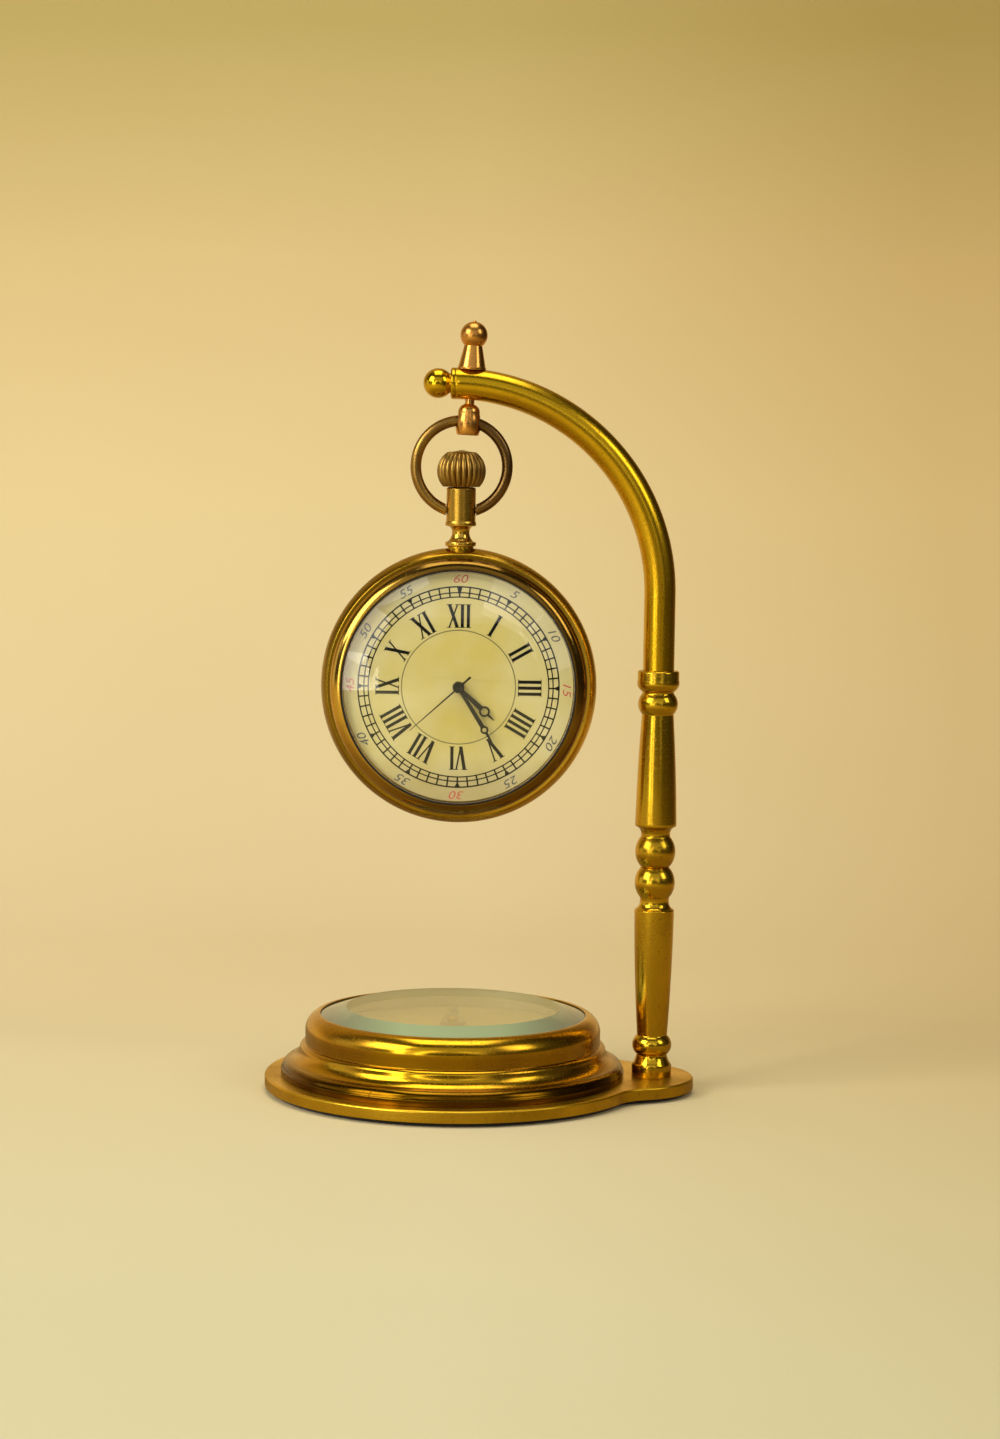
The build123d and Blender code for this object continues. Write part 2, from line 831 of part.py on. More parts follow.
def make_setting_stem():
    bottom = watch_z + stem_end
    top = crown_z + stem_crown_grip
    groove_bottom = watch_z + stem_groove - stem_groove_width / 2
    stem = rod(stem_radius, bottom, top)
    stem -= ring(2 * stem_radius, stem_groove_radius, groove_bottom, groove_bottom + stem_groove_width)
    return Pos(watch_x, 0, 0) * stem


def make_setting_lever():
    tongue_length = lever_reach - stem_groove_radius - running
    tongue = Box(
        tongue_length, lever_tongue_width, 2 * stem_groove_radius,
        align=(Align.MIN, Align.CENTER, Align.CENTER),
    )
    body_drop = plate_back + face_gap
    body = Box(
        lever_body_width, lever_body_length, lever_thickness, align=(Align.MIN, Align.CENTER, Align.MIN)
    )
    body = fillet(body.edges().filter_by(Axis.Z), lever_body_width / 5)
    lever = Pos(-lever_reach, -stem_groove, 0) * tongue
    lever += Pos(-lever_reach, -stem_groove, body_drop) * body
    return watch_frame * lever


def make_case_band():
    band = (
        Profile(band_bore_radius, band_front)
        .line(band_edge_radius, band_front)
        .arc(band_edge_radius, band_back, band_radius - band_edge_radius)
        .line(band_bore_radius, band_back)
        .solid()
    )
    band = watch_frame * band
    seat = rod(seat_radius, (band_bore_radius + band_radius) / 2, seat_height)
    bore = rod(pendant_spigot_radius + slip, 0, seat_height + face_gap)
    upright = Pos(watch_x, 0, watch_z)
    return band + upright * seat - upright * bore


def make_case_back():
    edge_back = band_back + back_edge
    inner_edge = edge_back - back_edge / 2
    inner_apex = edge_back + back_rise - back_thickness
    back = (
        Profile(skirt_bore_radius, band_back - skirt_reach)
        .line(skirt_radius, band_back - skirt_reach)
        .line(skirt_radius, band_back)
        .line(band_edge_radius, band_back)
        .line(band_edge_radius, edge_back)
        .dome(edge_back + back_rise)
        .line(0, inner_apex)
        .line(pole_radius, inner_apex)
        .arc(skirt_bore_radius, inner_edge, -(inner_apex - inner_edge) / 4)
        .solid()
    )
    return watch_frame * back


def make_bezel():
    crown_line = band_front - bezel_land
    ledge_under = dial_front - face_gap / 2
    bezel = (
        Profile(crystal_bore_radius, crown_line - bezel_rise)
        .arc(bezel_radius, crown_line, bezel_swell)
        .line(bezel_radius, band_front)
        .line(skirt_radius, band_front)
        .line(skirt_radius, band_front + skirt_reach)
        .line(skirt_bore_radius, band_front + skirt_reach)
        .line(skirt_bore_radius, ledge_under)
        .line(rehaut_radius, ledge_under)
        .line(rehaut_radius + rehaut_lean, crystal_seat)
        .line(crystal_bore_radius, crystal_seat)
        .solid()
    )
    return watch_frame * bezel


def make_crystal():
    edge_front = crystal_seat - crystal_edge
    inner_radius = crystal_radius - crystal_thickness
    crystal = (
        Profile(0, edge_front - crystal_rise)
        .line(pole_radius, edge_front - crystal_rise)
        .arc(crystal_radius, edge_front, crystal_rise / 4)
        .line(crystal_radius, crystal_seat)
        .line(inner_radius, crystal_seat)
        .dome(edge_front - crystal_rise + crystal_thickness, -1)
        .solid()
    )
    return watch_frame * crystal


def make_crystal_gasket():
    gasket_front = crystal_seat - gasket_height
    return watch_frame * ring(crystal_bore_radius, crystal_radius, gasket_front, crystal_seat)


def make_dial():
    dial = rod(holder_radius, dial_front, dial_back)
    dial -= rod(hour_tube_radius + 2 * gear_running, dial_front, dial_back)
    foot = rod(dial_foot_radius, dial_back, plate_back)
    for clock_angle in (0, 180):
        dial += clock_place(dial_foot_circle, clock_angle + minute_wheel_clock_angle) * foot
    return watch_frame * dial


def make_movement_holder():
    holder = (
        Profile(movement_radius + slip, plate_front)
        .line(movement_radius + slip - holder_ledge, plate_front)
        .line(movement_radius + slip - holder_ledge, dial_back)
        .line(holder_radius, dial_back)
        .line(holder_radius, band_back)
        .line(movement_radius + slip, band_back)
        .solid()
    )
    channel = Rot(90, 0, 0) * rod(pendant_spigot_radius / 2, 0, 2 * holder_radius)
    return watch_frame * (holder - channel)


def make_main_plate():
    plate = rod(movement_radius, plate_front, plate_back)
    for clock_angle in (0, 180):
        hole = rod(dial_foot_radius + slip, plate_front, plate_back)
        plate -= clock_place(dial_foot_circle, clock_angle + minute_wheel_clock_angle) * hole
    pillar = rod(pillar_radius, plate_back, bridge_front)
    pillar -= rod(bridge_screw_radius + slip, plate_back, bridge_front)
    for clock_angle in pillar_clock_angles:
        plate += clock_place(pillar_circle, clock_angle) * pillar
    bearing_length = movement_radius - holder_ledge - stem_bearing_start
    bearing = Pos(0, -stem_bearing_start, plate_back) * Box(
        stem_bearing_width, bearing_length, bridge_front - plate_back,
        align=(Align.CENTER, Align.MAX, Align.MIN),
    )
    stem_bore = Rot(90, 0, 0) * rod(stem_radius + running, 0, 2 * movement_radius)
    plate += bearing - stem_bore
    tube_end = minute_hand_back - hand_thickness - face_gap
    plate += rod(tube_radius, tube_end, plate_front)
    plate -= rod(tube_bore_radius, tube_end, plate_back)
    post = rod(post_radius, hour_level - gear_width - post_over, plate_front)
    plate += clock_place(gear_centre_distance, minute_wheel_clock_angle) * post
    return watch_frame * plate


def make_train_bridge():
    bridge = rod(movement_radius, bridge_front, bridge_back)
    bridge += rod(train_block_radius, plate_back, bridge_front)
    bridge -= rod(tube_bore_radius, plate_back, bridge_front - face_gap)
    bridge -= clock_place(battery_circle, battery_clock_angle) * rod(
        battery_radius + face_gap, plate_back, bridge_back
    )
    for clock_angle in pillar_clock_angles:
        hole = rod(bridge_screw_radius + slip, bridge_front, bridge_back)
        bridge -= clock_place(pillar_circle, clock_angle) * hole
    return watch_frame * bridge


def make_bridge_screws():
    shank = rod(bridge_screw_radius, plate_back, bridge_back)
    screw = shank + rod(bridge_screw_head_radius, bridge_back, bridge_back + bridge_screw_head_height)
    screws = [watch_frame * clock_place(pillar_circle, angle) * screw for angle in pillar_clock_angles]
    return Compound(children=screws)


def make_battery():
    battery = rod(battery_radius, plate_back, plate_back + battery_thickness)
    return watch_frame * clock_place(battery_circle, battery_clock_angle) * battery


def make_battery_clip():
    strip = Pos(0, -clip_overhang, bridge_back) * Box(
        clip_width, clip_length, clip_thickness, align=(Align.CENTER, Align.MIN, Align.MIN)
    )
    finger = rod(clip_finger_radius, plate_back + battery_thickness, bridge_back)
    return watch_frame * clock_place(battery_circle, battery_clock_angle) * (strip + finger)


def make_coil():
    axis_level = plate_back + coil_radius + face_gap
    winding = cross_rod(coil_radius, -coil_length / 2, coil_length / 2)
    core = cross_rod(coil_core_radius, -coil_core_length / 2, coil_core_length / 2)
    foot = Box(
        coil_foot, 2 * coil_core_radius, axis_level - plate_back,
        align=(Align.CENTER, Align.CENTER, Align.MAX),
    )
    coil = winding + core
    for side in (-1, 1):
        coil += Pos(side * (coil_core_length - coil_foot) / 2, 0, 0) * foot
    return watch_frame * clock_place(coil_circle, coil_clock_angle) * Pos(0, 0, axis_level) * coil


def make_circuit_board():
    board = Pos(0, 0, plate_back) * Box(
        board_length, board_width, board_thickness, align=(Align.CENTER, Align.CENTER, Align.MIN)
    )
    can_level = plate_back + board_thickness + can_radius
    can = Pos(0, 0, can_level) * cross_rod(can_radius, -can_length / 2, can_length / 2)
    seat = Pos(0, 0, plate_back + board_thickness) * Box(
        can_length, can_radius, can_radius, align=(Align.CENTER, Align.CENTER, Align.MIN)
    )
    return watch_frame * clock_place(board_circle, board_clock_angle) * (board + seat + can)


def gear_outline(teeth, clock_angle, tooth_share):
    """Outline of a small gear with a tooth at the clock angle, or a gap where the share is negative."""
    pitch_radius = gear_module * teeth / 2
    step = 2 * math.pi / teeth
    start = math.radians(clock_angle - 90)
    if tooth_share < 0:
        start += step / 2
    half = abs(tooth_share) * step / 2
    flank = (
        (pitch_radius + tooth_root * gear_module, -tooth_root_width * half),
        (pitch_radius, -half),
        (pitch_radius + tooth_shoulder * gear_module, -tooth_shoulder_width * half),
        (pitch_radius + tooth_tip * gear_module, -tooth_tip_width * half),
    )
    tooth = list(flank) + [(radius, -turn) for radius, turn in reversed(flank)]
    points = []
    for number in range(teeth):
        for radius, turn in tooth:
            angle = start + number * step + turn
            points.append((radius * math.cos(angle), radius * math.sin(angle)))
    return make_face(Polyline(points, close=True))


def gear(teeth, clock_angle, tooth_share, front, back):
    return Pos(0, 0, front) * extrude(gear_outline(teeth, clock_angle, tooth_share), back - front)


def make_cannon_pinion():
    gear_front = cannon_level - gear_width
    pinion = gear(cannon_teeth, minute_wheel_clock_angle, pinion_tooth_share, gear_front, cannon_level)
    pinion += rod(cannon_radius, minute_hand_back - hand_thickness, gear_front)
    pinion -= rod(cannon_bore_radius, minute_hand_back - hand_thickness, cannon_level)
    return watch_frame * pinion


def make_minute_wheel():
    gear_front = cannon_level - gear_width
    pinion_front = hour_level - gear_width
    facing = minute_wheel_clock_angle + 180
    wheel = gear(minute_wheel_teeth, facing, -wheel_tooth_share, gear_front, cannon_level)
    wheel += gear(minute_pinion_teeth, facing, pinion_tooth_share, pinion_front, gear_front)
    wheel -= rod(post_radius + running, pinion_front, cannon_level)
    return watch_frame * clock_place(gear_centre_distance, minute_wheel_clock_angle) * Rot(
        0, 0, -minute_wheel_clock_angle
    ) * wheel


def make_hour_wheel():
    gear_front = hour_level - gear_width
    tube_end = hour_hand_back - hand_thickness
    wheel = gear(hour_wheel_teeth, minute_wheel_clock_angle, -wheel_tooth_share, gear_front, hour_level)
    wheel += rod(hour_tube_radius, tube_end, gear_front)
    wheel -= rod(hour_bore_radius, tube_end, hour_level)
    return watch_frame * wheel


def make_dial_washer():
    inner = hour_tube_radius + 2 * gear_running
    return watch_frame * ring(inner + washer_width, inner, dial_back, dial_back + washer_thickness)


def taper(top_width, top, bottom_width, bottom):
    """Flat taper about the Y axis from a width at the top to a width at the bottom."""
    half_top = top_width / 2
    half_bottom = bottom_width / 2
    return Polygon(
        (half_top, top), (-half_top, top), (-half_bottom, bottom), (half_bottom, bottom), align=None
    )


def ring_hand(length, ring_at, ring_radius, bore_radius):
    """Flat hand that points to twelve: hub, widening stem, open ring and pointed tip."""
    hub = Circle(bore_radius + hand_hub_wall)
    stem = taper(hand_root_width, 0, hand_shoulder_width, -ring_at)
    tip = taper(hand_tip_root_width, -ring_at, hand_tip_width, -length)
    outline = hub + stem + tip + Pos(0, -ring_at) * Circle(ring_radius)
    outline -= Pos(0, -ring_at) * Circle(ring_radius - hand_ring_wall)
    return outline - Circle(bore_radius)


def placed_hand(outline, back, clock_angle):
    hand = Pos(0, 0, back - hand_thickness) * extrude(outline, hand_thickness)
    return watch_frame * Rot(0, 0, clock_angle) * hand


def make_hour_hand():
    outline = ring_hand(hour_hand_length, hour_hand_ring_at, hour_hand_ring, hour_tube_radius)
    return placed_hand(outline, hour_hand_back, hour_angle)


def make_minute_hand():
    outline = ring_hand(minute_hand_length, minute_hand_ring_at, minute_hand_ring, cannon_radius)
    return placed_hand(outline, minute_hand_back, minute_angle)


def make_seconds_arbor():
    return watch_frame * rod(arbor_radius, second_hand_back - hand_thickness, bridge_front - 2 * face_gap)


def make_second_hand():
    blade = taper(second_hand_width, second_hand_tail, hand_tip_width, -second_hand_length)
    hand = placed_hand(blade - Circle(arbor_radius), second_hand_back, second_angle)
    boss_front = second_hand_back - hand_thickness - second_hand_boss_height
    boss = rod(second_hand_boss, boss_front, second_hand_back)
    boss -= rod(arbor_radius, second_hand_back - hand_thickness, second_hand_back)
    return hand + watch_frame * boss


makers = {
    "felt_pad": make_felt_pad,
    "base_plate": make_base_plate,
    "column_screw": make_column_screw,
    "housing_screws": make_housing_screws,
    "compass_housing": make_compass_housing,
    "compass_glass": make_compass_glass,
    "glass_spacer_ring": make_glass_spacer_ring,
    "compass_dial": make_compass_dial,
    "dial_backing": make_dial_backing,
    "compass_pivot": make_compass_pivot,
    "compass_needle": make_compass_needle,
    "needle_cap": make_needle_cap,
    "lower_column": make_lower_column,
    "column_stud": make_column_stud,
    "upper_column": make_upper_column,
    "arm": make_arm,
    "arm_end_ball": make_arm_end_ball,
    "hanger_eye": make_hanger_eye,
    "hanger_finial": make_hanger_finial,
    "bow": make_bow,
    "pendant_tube": make_pendant_tube,
    "crown": make_crown,
    "setting_stem": make_setting_stem,
    "setting_lever": make_setting_lever,
    "case_band": make_case_band,
    "case_back": make_case_back,
    "bezel": make_bezel,
    "crystal": make_crystal,
    "crystal_gasket": make_crystal_gasket,
    "watch_dial": make_dial,
    "movement_holder": make_movement_holder,
    "main_plate": make_main_plate,
    "train_bridge": make_train_bridge,
    "bridge_screws": make_bridge_screws,
    "battery": make_battery,
    "battery_clip": make_battery_clip,
    "coil": make_coil,
    "circuit_board": make_circuit_board,
    "cannon_pinion": make_cannon_pinion,
    "minute_wheel": make_minute_wheel,
    "hour_wheel": make_hour_wheel,
    "dial_washer": make_dial_washer,
    "hour_hand": make_hour_hand,
    "minute_hand": make_minute_hand,
    "seconds_arbor": make_seconds_arbor,
    "second_hand": make_second_hand,
}

os.makedirs("parts", exist_ok=True)
for name, make in makers.items():
    export_step(make(), f"parts/{name}.step")
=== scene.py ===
import math

import bpy
from mathutils import Euler, Matrix, Vector


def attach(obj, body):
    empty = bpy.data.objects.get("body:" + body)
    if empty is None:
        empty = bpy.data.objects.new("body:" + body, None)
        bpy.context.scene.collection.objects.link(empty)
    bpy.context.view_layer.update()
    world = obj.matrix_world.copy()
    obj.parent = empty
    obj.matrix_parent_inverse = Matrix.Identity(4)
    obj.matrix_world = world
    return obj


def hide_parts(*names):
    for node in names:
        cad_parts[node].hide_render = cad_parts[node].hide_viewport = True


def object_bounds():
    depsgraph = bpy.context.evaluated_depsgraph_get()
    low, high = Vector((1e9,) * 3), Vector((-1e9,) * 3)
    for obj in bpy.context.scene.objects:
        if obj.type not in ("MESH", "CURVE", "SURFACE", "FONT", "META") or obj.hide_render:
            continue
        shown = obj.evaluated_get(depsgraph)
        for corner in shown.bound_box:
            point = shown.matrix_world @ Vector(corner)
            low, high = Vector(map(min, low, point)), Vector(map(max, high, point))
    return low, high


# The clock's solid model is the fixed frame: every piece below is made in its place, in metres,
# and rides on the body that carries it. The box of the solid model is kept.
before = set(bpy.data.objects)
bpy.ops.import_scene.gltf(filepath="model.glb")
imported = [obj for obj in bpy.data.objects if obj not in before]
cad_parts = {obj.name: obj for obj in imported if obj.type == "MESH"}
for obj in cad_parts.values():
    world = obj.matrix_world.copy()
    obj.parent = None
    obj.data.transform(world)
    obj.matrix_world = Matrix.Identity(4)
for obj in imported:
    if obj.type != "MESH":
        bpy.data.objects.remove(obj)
cad_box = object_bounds()

# Camera: a short telephoto level with the hanger, 0.6 m in front of the dial, tipped down towards
# the base and rolled a little, as the post leans in the picture. The frame is 1000 x 1439.
frame_tall, focal_pixels = 1439, 3253
camera_data = bpy.data.cameras.new("camera")
camera_data.sensor_fit = "VERTICAL"
camera_data.sensor_height = 36.0
camera_data.lens = camera_data.sensor_height * focal_pixels / frame_tall
camera = bpy.data.objects.new("camera", camera_data)
bpy.context.scene.collection.objects.link(camera)
camera_tip, camera_roll = math.radians(90 - 5.2), math.radians(0.8)
camera_turn = Matrix.Rotation(camera_tip, 4, "X") @ Matrix.Rotation(camera_roll, 4, "Z")
camera.matrix_world = Matrix.Translation((0.008, -0.600, 0.124)) @ camera_turn
bpy.context.scene.camera = camera

# Floor and wall: one sheet of warm cream paper that sweeps up behind the clock in a wide curve, faintly
# blotched, with painted shade that darkens it towards the top and on the floor's right. Painted reflection
# makes the metal mirror its right side and the floor near the base dark. Its back is clear, so that the clock
# can be seen from behind.
paper_wide, paper_deep, paper_shift = 5.0, 3.0, -1.05
wall_tall, wall_bend = 2.4, 0.28
bpy.ops.object.select_all(action="DESELECT")
bpy.ops.mesh.primitive_plane_add(size=1.0, location=(0, 0, 0))
backdrop = bpy.context.object
backdrop.name = "paper_sweep"
bpy.ops.object.mode_set(mode="EDIT")
bpy.ops.transform.resize(value=(paper_wide, paper_deep, 1.0))
bpy.ops.transform.translate(value=(0, paper_shift, 0))


def pick_far_edge():
    """Selects the floor's far edge, where the paper turns up."""
    bpy.ops.mesh.select_all(action="DESELECT")
    bpy.ops.object.mode_set(mode="OBJECT")
    for edge in backdrop.data.edges:
        ends = [backdrop.data.vertices[v].co for v in edge.vertices]
        edge.select = all(end.y > 0.4 and end.z < 0.01 for end in ends)
    bpy.ops.object.mode_set(mode="EDIT")
    bpy.ops.mesh.select_mode(type="EDGE")


pick_far_edge()
bpy.ops.mesh.extrude_region_move(TRANSFORM_OT_translate={"value": (0, 0, wall_tall)})
pick_far_edge()
bpy.ops.mesh.bevel(offset=wall_bend, segments=24, affect="EDGES")
bpy.ops.mesh.select_mode(type="VERT")
bpy.ops.object.mode_set(mode="OBJECT")
bpy.ops.object.shade_smooth()


def new_finish(name):
    """A new material and its shader; the node helpers then work in that material."""
    global nodes, links
    material = bpy.data.materials.new(name)
    material.use_nodes = True
    nodes, links = material.node_tree.nodes, material.node_tree.links
    return material, nodes["Principled BSDF"]


def feed(socket, value):
    """Sets a plain number or colour on a socket, or links another socket to it."""
    if isinstance(value, (int, float, tuple)):
        socket.default_value = value
    else:
        links.new(value, socket)


def place_node():
    """Where a point lies on the piece, in metres."""
    return nodes.new("ShaderNodeTexCoord").outputs["Object"]


def axes_node(vector):
    """The three measures of a place, by the names X, Y and Z."""
    node = nodes.new("ShaderNodeSeparateXYZ")
    links.new(vector, node.inputs["Vector"])
    return node.outputs


def noise_node(vector, scale, detail):
    """Soft random blotches, from nought to one."""
    node = nodes.new("ShaderNodeTexNoise")
    node.inputs["Scale"].default_value = scale
    node.inputs["Detail"].default_value = detail
    links.new(vector, node.inputs["Vector"])
    return node.outputs["Fac"]


def between(value, low, high):
    """Nought below low, one above high."""
    node = nodes.new("ShaderNodeMapRange")
    feed(node.inputs["From Min"], low)
    feed(node.inputs["From Max"], high)
    links.new(value, node.inputs["Value"])
    return node.outputs["Result"]


def ramp_node(value, low, high, stops):
    """Colours along one measure, from low to high; each stop is a place from 0 to 1 and a colour."""
    ramp = nodes.new("ShaderNodeValToRGB")
    while len(ramp.color_ramp.elements) < len(stops):
        ramp.color_ramp.elements.new(0.5)
    for element, (position, colour) in zip(ramp.color_ramp.elements, stops):
        element.position = position
        element.color = (*colour, 1)
    links.new(between(value, low, high), ramp.inputs["Fac"])
    return ramp.outputs["Color"]


def mix_node(way, share, first, second):
    """Two colours mixed or multiplied, by a share from nought to one."""
    node = nodes.new("ShaderNodeMix")
    node.data_type = "RGBA"
    node.blend_type = way
    for socket, value in zip((node.inputs[0], node.inputs[6], node.inputs[7]), (share, first, second)):
        feed(socket, value)
    return node.outputs[2]


def clear_where(share, shader, tint):
    """Lets the light straight through where share is one, and shows the shader elsewhere."""
    through = nodes.new("ShaderNodeBsdfTransparent")
    through.inputs["Color"].default_value = (*tint, 1)
    choice = nodes.new("ShaderNodeMixShader")
    links.new(share, choice.inputs["Fac"])
    links.new(shader.outputs["BSDF"], choice.inputs[1])
    links.new(through.outputs["BSDF"], choice.inputs[2])
    links.new(choice.outputs["Shader"], nodes["Material Output"].inputs["Surface"])


white = (1.0, 1.0, 1.0)
paper, shader = new_finish("cream_paper")
shader.inputs["Roughness"].default_value = 0.85
shader.inputs["Specular IOR Level"].default_value = 0.2
spot = place_node()
axes = axes_node(spot)
# Painted shade: the sweep darkens towards its top, and the floor darkens to its right.
wall_top_shade = ramp_node(axes["Z"], 0.0, 0.25, (
    (0.0, (0.78, 0.66, 0.39)), (0.4, (0.78, 0.64, 0.34)), (0.7, (0.71, 0.56, 0.27)),
    (1.0, (0.53, 0.43, 0.155))))
near = ramp_node(axes["Y"], -0.18, 0.10, ((0.0, (0.86, 0.95, 1.0)), (1.0, (0.96, 0.94, 0.92))))
floor_right_shade = ramp_node(axes["X"], 0.0, 0.14, ((0.0, white), (1.0, (0.85, 0.79, 0.67))))
cloud = ramp_node(noise_node(spot, 3.2, 3.0), 0.3, 0.7, ((0.0, (0.94, 0.93, 0.88)), (1.0, white)))
cream = mix_node("MULTIPLY", 1.0, mix_node("MULTIPLY", 1.0, wall_top_shade, near), floor_right_shade)
cream = mix_node("MULTIPLY", 1.0, cream, cloud)
# Painted reflection: in mirror rays only, the paper is darkened on its right side and near the base, so the
# metal mirrors it dark there.
mirror_painted_shade = ramp_node(axes["X"], -1.0, 1.0, (
    (0.0, (0.7, 0.65, 0.55)), (0.35, (1.0, 0.95, 0.85)), (0.57, (1.0, 0.95, 0.85)),
    (0.70, (0.20, 0.17, 0.12))))
out_from_base = nodes.new("ShaderNodeVectorMath")
out_from_base.operation = "LENGTH"
links.new(spot, out_from_base.inputs[0])
mirror_shade_near_base = ramp_node(out_from_base.outputs["Value"], 0.10, 0.24, ((0.0, (0.48, 0.43, 0.36)), (1.0, white)))
mirror_painted_shade = mix_node("MULTIPLY", 1.0, mirror_painted_shade, mirror_shade_near_base)
in_mirror = nodes.new("ShaderNodeLightPath").outputs["Is Glossy Ray"]
links.new(mix_node("MULTIPLY", in_mirror, cream, mirror_painted_shade), shader.inputs["Base Color"])
clear_where(nodes.new("ShaderNodeNewGeometry").outputs["Backfacing"], shader, white)
backdrop.data.materials.append(paper)


# Studio light: large soft boxes from the left, the right and above, dim walls in front and at the left and a
# strip for the round brass, and narrow panels in an arch round the camera, which the crystal mirrors.
def soft_box(name, place, aim, size, power, roll=0.0):
    """A lamp with a plain rectangle of cloth before it, aimed at a point of the clock."""
    lamp_data = bpy.data.lights.new(name, "AREA")
    lamp_data.shape = "RECTANGLE"
    lamp_data.size, lamp_data.size_y = size
    lamp_data.energy = power
    lamp_data.color = (1.0, 0.97, 0.92)
    lamp = bpy.data.objects.new(name, lamp_data)
    facing = (Vector(aim) - Vector(place)).to_track_quat("-Z", "Y").to_matrix().to_4x4()
    lamp.matrix_world = Matrix.Translation(place) @ facing @ Matrix.Rotation(math.radians(roll), 4, "Z")
    bpy.context.scene.collection.objects.link(lamp)


soft_box("left_box", (-0.97, -0.63, 0.75), aim=(0, 0, 0.06), size=(0.7, 0.7), power=10.8)
soft_box("front_wall", (0.0, -1.2, 0.80), aim=(0, 0, 0.10), size=(1.6, 0.9), power=2.4)
soft_box("right_box", (0.95, -0.6, 0.75), aim=(0, 0, 0.08), size=(0.4, 0.6), power=3.2)
soft_box("top_box", (0.0, 0.0, 1.4), aim=(0, 0.05, 0), size=(0.9, 0.9), power=8.6)
soft_box("left_wall", (-1.1, 0.0, 0.20), aim=(0, 0, 0.08), size=(0.5, 0.5), power=0.6)
soft_box("left_strip", (-0.50, -0.60, 0.17), aim=(0, 0, 0.08), size=(0.12, 0.34), power=0.65)
for name, across, high, roll, power in (
        ("arch_1", -0.345, 0.03, 0, 0.20), ("arch_2", -0.31, 0.18, -30, 0.16),
        ("arch_3", -0.20, 0.33, -60, 0.12), ("arch_4", 0.165, 0.28, 60, 0.06),
        ("arch_5", 0.29, 0.165, 30, 0.05)):
    soft_box(name, (across, -0.72, high), (0, 0, 0.08), (0.075, 0.18), power, roll)

world = bpy.data.worlds.new("room")
world.use_nodes = True
bpy.context.scene.world = world
room_light = world.node_tree.nodes["Background"]
room_light.inputs["Color"].default_value = (1.0, 0.92, 0.78, 1)
room_light.inputs["Strength"].default_value = 0.06
bpy.context.scene.view_settings.view_transform = "Standard"

# Felt pad: thin dark felt cut to the plate's outline, 1.2 mm inside its edge, and glued under the plate
# over the screw heads. Its cut edge is soft.
MM = 0.001
felt_thick, felt_inset = 0.8, 1.2


def draw(name, points):
    """A chain of corners, pulled out from place to place, left open in edit mode with all of it selected."""
    bpy.ops.object.select_all(action="DESELECT")
    bpy.ops.mesh.primitive_plane_add(size=MM)
    piece = bpy.context.object
    piece.name = name
    bpy.ops.object.mode_set(mode="EDIT")
    bpy.ops.mesh.merge(type="CENTER")
    bpy.ops.transform.translate(value=points[0])
    for start, end in zip(points, points[1:]):
        bpy.ops.mesh.extrude_region_move(TRANSFORM_OT_translate={"value": Vector(end) - Vector(start)})
    bpy.ops.mesh.select_all(action="SELECT")
    return piece


def flat_blank(name, points, thickness):
    """A closed outline, filled and pulled out to a thickness, left in edit mode."""
    piece = draw(name, points + points[:1])
    bpy.ops.mesh.remove_doubles(threshold=1e-6)
    bpy.ops.mesh.edge_face_add()
    bpy.ops.mesh.extrude_region_move(TRANSFORM_OT_translate={"value": thickness})
    bpy.ops.mesh.select_all(action="SELECT")
    bpy.ops.mesh.normals_make_consistent(inside=False)
    return piece


def soften(piece, edge, segments=2, smooth=40):
    """Rounds the sharp edges and smooths the shading, as the last step of a piece."""
    bpy.ops.object.mode_set(mode="OBJECT")
    bevel = piece.modifiers.new("edge", "BEVEL")
    bevel.width = edge * MM
    bevel.segments = segments
    bevel.limit_method = "ANGLE"
    bevel.angle_limit = math.radians(35)
    bpy.ops.object.modifier_apply(modifier=bevel.name)
    bpy.ops.object.shade_smooth_by_angle(angle=math.radians(smooth))
    even = piece.modifiers.new("even", "WEIGHTED_NORMAL")
    even.keep_sharp = True
    bpy.ops.object.modifier_apply(modifier=even.name)


def fit(piece, material, slot, body, *cad_nodes):
    """Gives a finished piece its material, and sets it on the body that carries it. The slot is not used."""
    piece.data.materials.clear()
    piece.data.materials.append(material)
    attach(piece, body)
    if cad_nodes:
        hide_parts(*cad_nodes)


def roughen(shader, height, strength, distance):
    """A fine relief on a finish, from the height of its grain."""
    bump = nodes.new("ShaderNodeBump")
    bump.inputs["Strength"].default_value = strength
    bump.inputs["Distance"].default_value = distance
    links.new(height, bump.inputs["Height"])
    links.new(bump.outputs["Normal"], shader.inputs["Normal"])


def plate_outline(inset, height):
    """The plate's outline: a disc, a lobe for the post, and two hollow curves between them."""
    disc, lobe, hollow = 35.0 - inset, 13.0 - inset, 8.0 + inset
    runs = (
        (0, 0, disc, 27.9, 332.1, 150),
        (38.0, -20.12, hollow, 152.1, 106.6, 14),
        (32.0, 0, lobe, -73.4, 73.4, 40),
        (38.0, 20.12, hollow, 253.4, 207.9, 14),
    )
    points = []
    for x, y, radius, start, end, steps in runs:
        for step in range(steps):
            turn = math.radians(start + (end - start) * step / steps)
            points.append(Vector((x + radius * math.cos(turn), y + radius * math.sin(turn), height)) * MM)
    return points


pad_line = plate_outline(felt_inset, 0.0)
felt = flat_blank("felt_pad_cloth", pad_line, (0, 0, felt_thick * MM))
soften(felt, 0.22, 3)
felt_cloth, shader = new_finish("green_black_felt")
shader.inputs["Roughness"].default_value = 0.95
shader.inputs["Sheen Weight"].default_value = 0.4
fibre = noise_node(place_node(), 2600.0, 5.0)
felt_tint = ramp_node(fibre, 0.0, 1.0, ((0.0, (0.006, 0.008, 0.005)), (1.0, (0.030, 0.034, 0.024))))
links.new(felt_tint, shader.inputs["Base Color"])
roughen(shader, fibre, 0.6, 0.0002)
fit(felt, felt_cloth, "felt", "stand", "felt_pad")

pad_corners = zip(pad_line, pad_line[1:] + pad_line[:1])
pad_area = sum(a.x * b.y - b.x * a.y for a, b in pad_corners) / 2

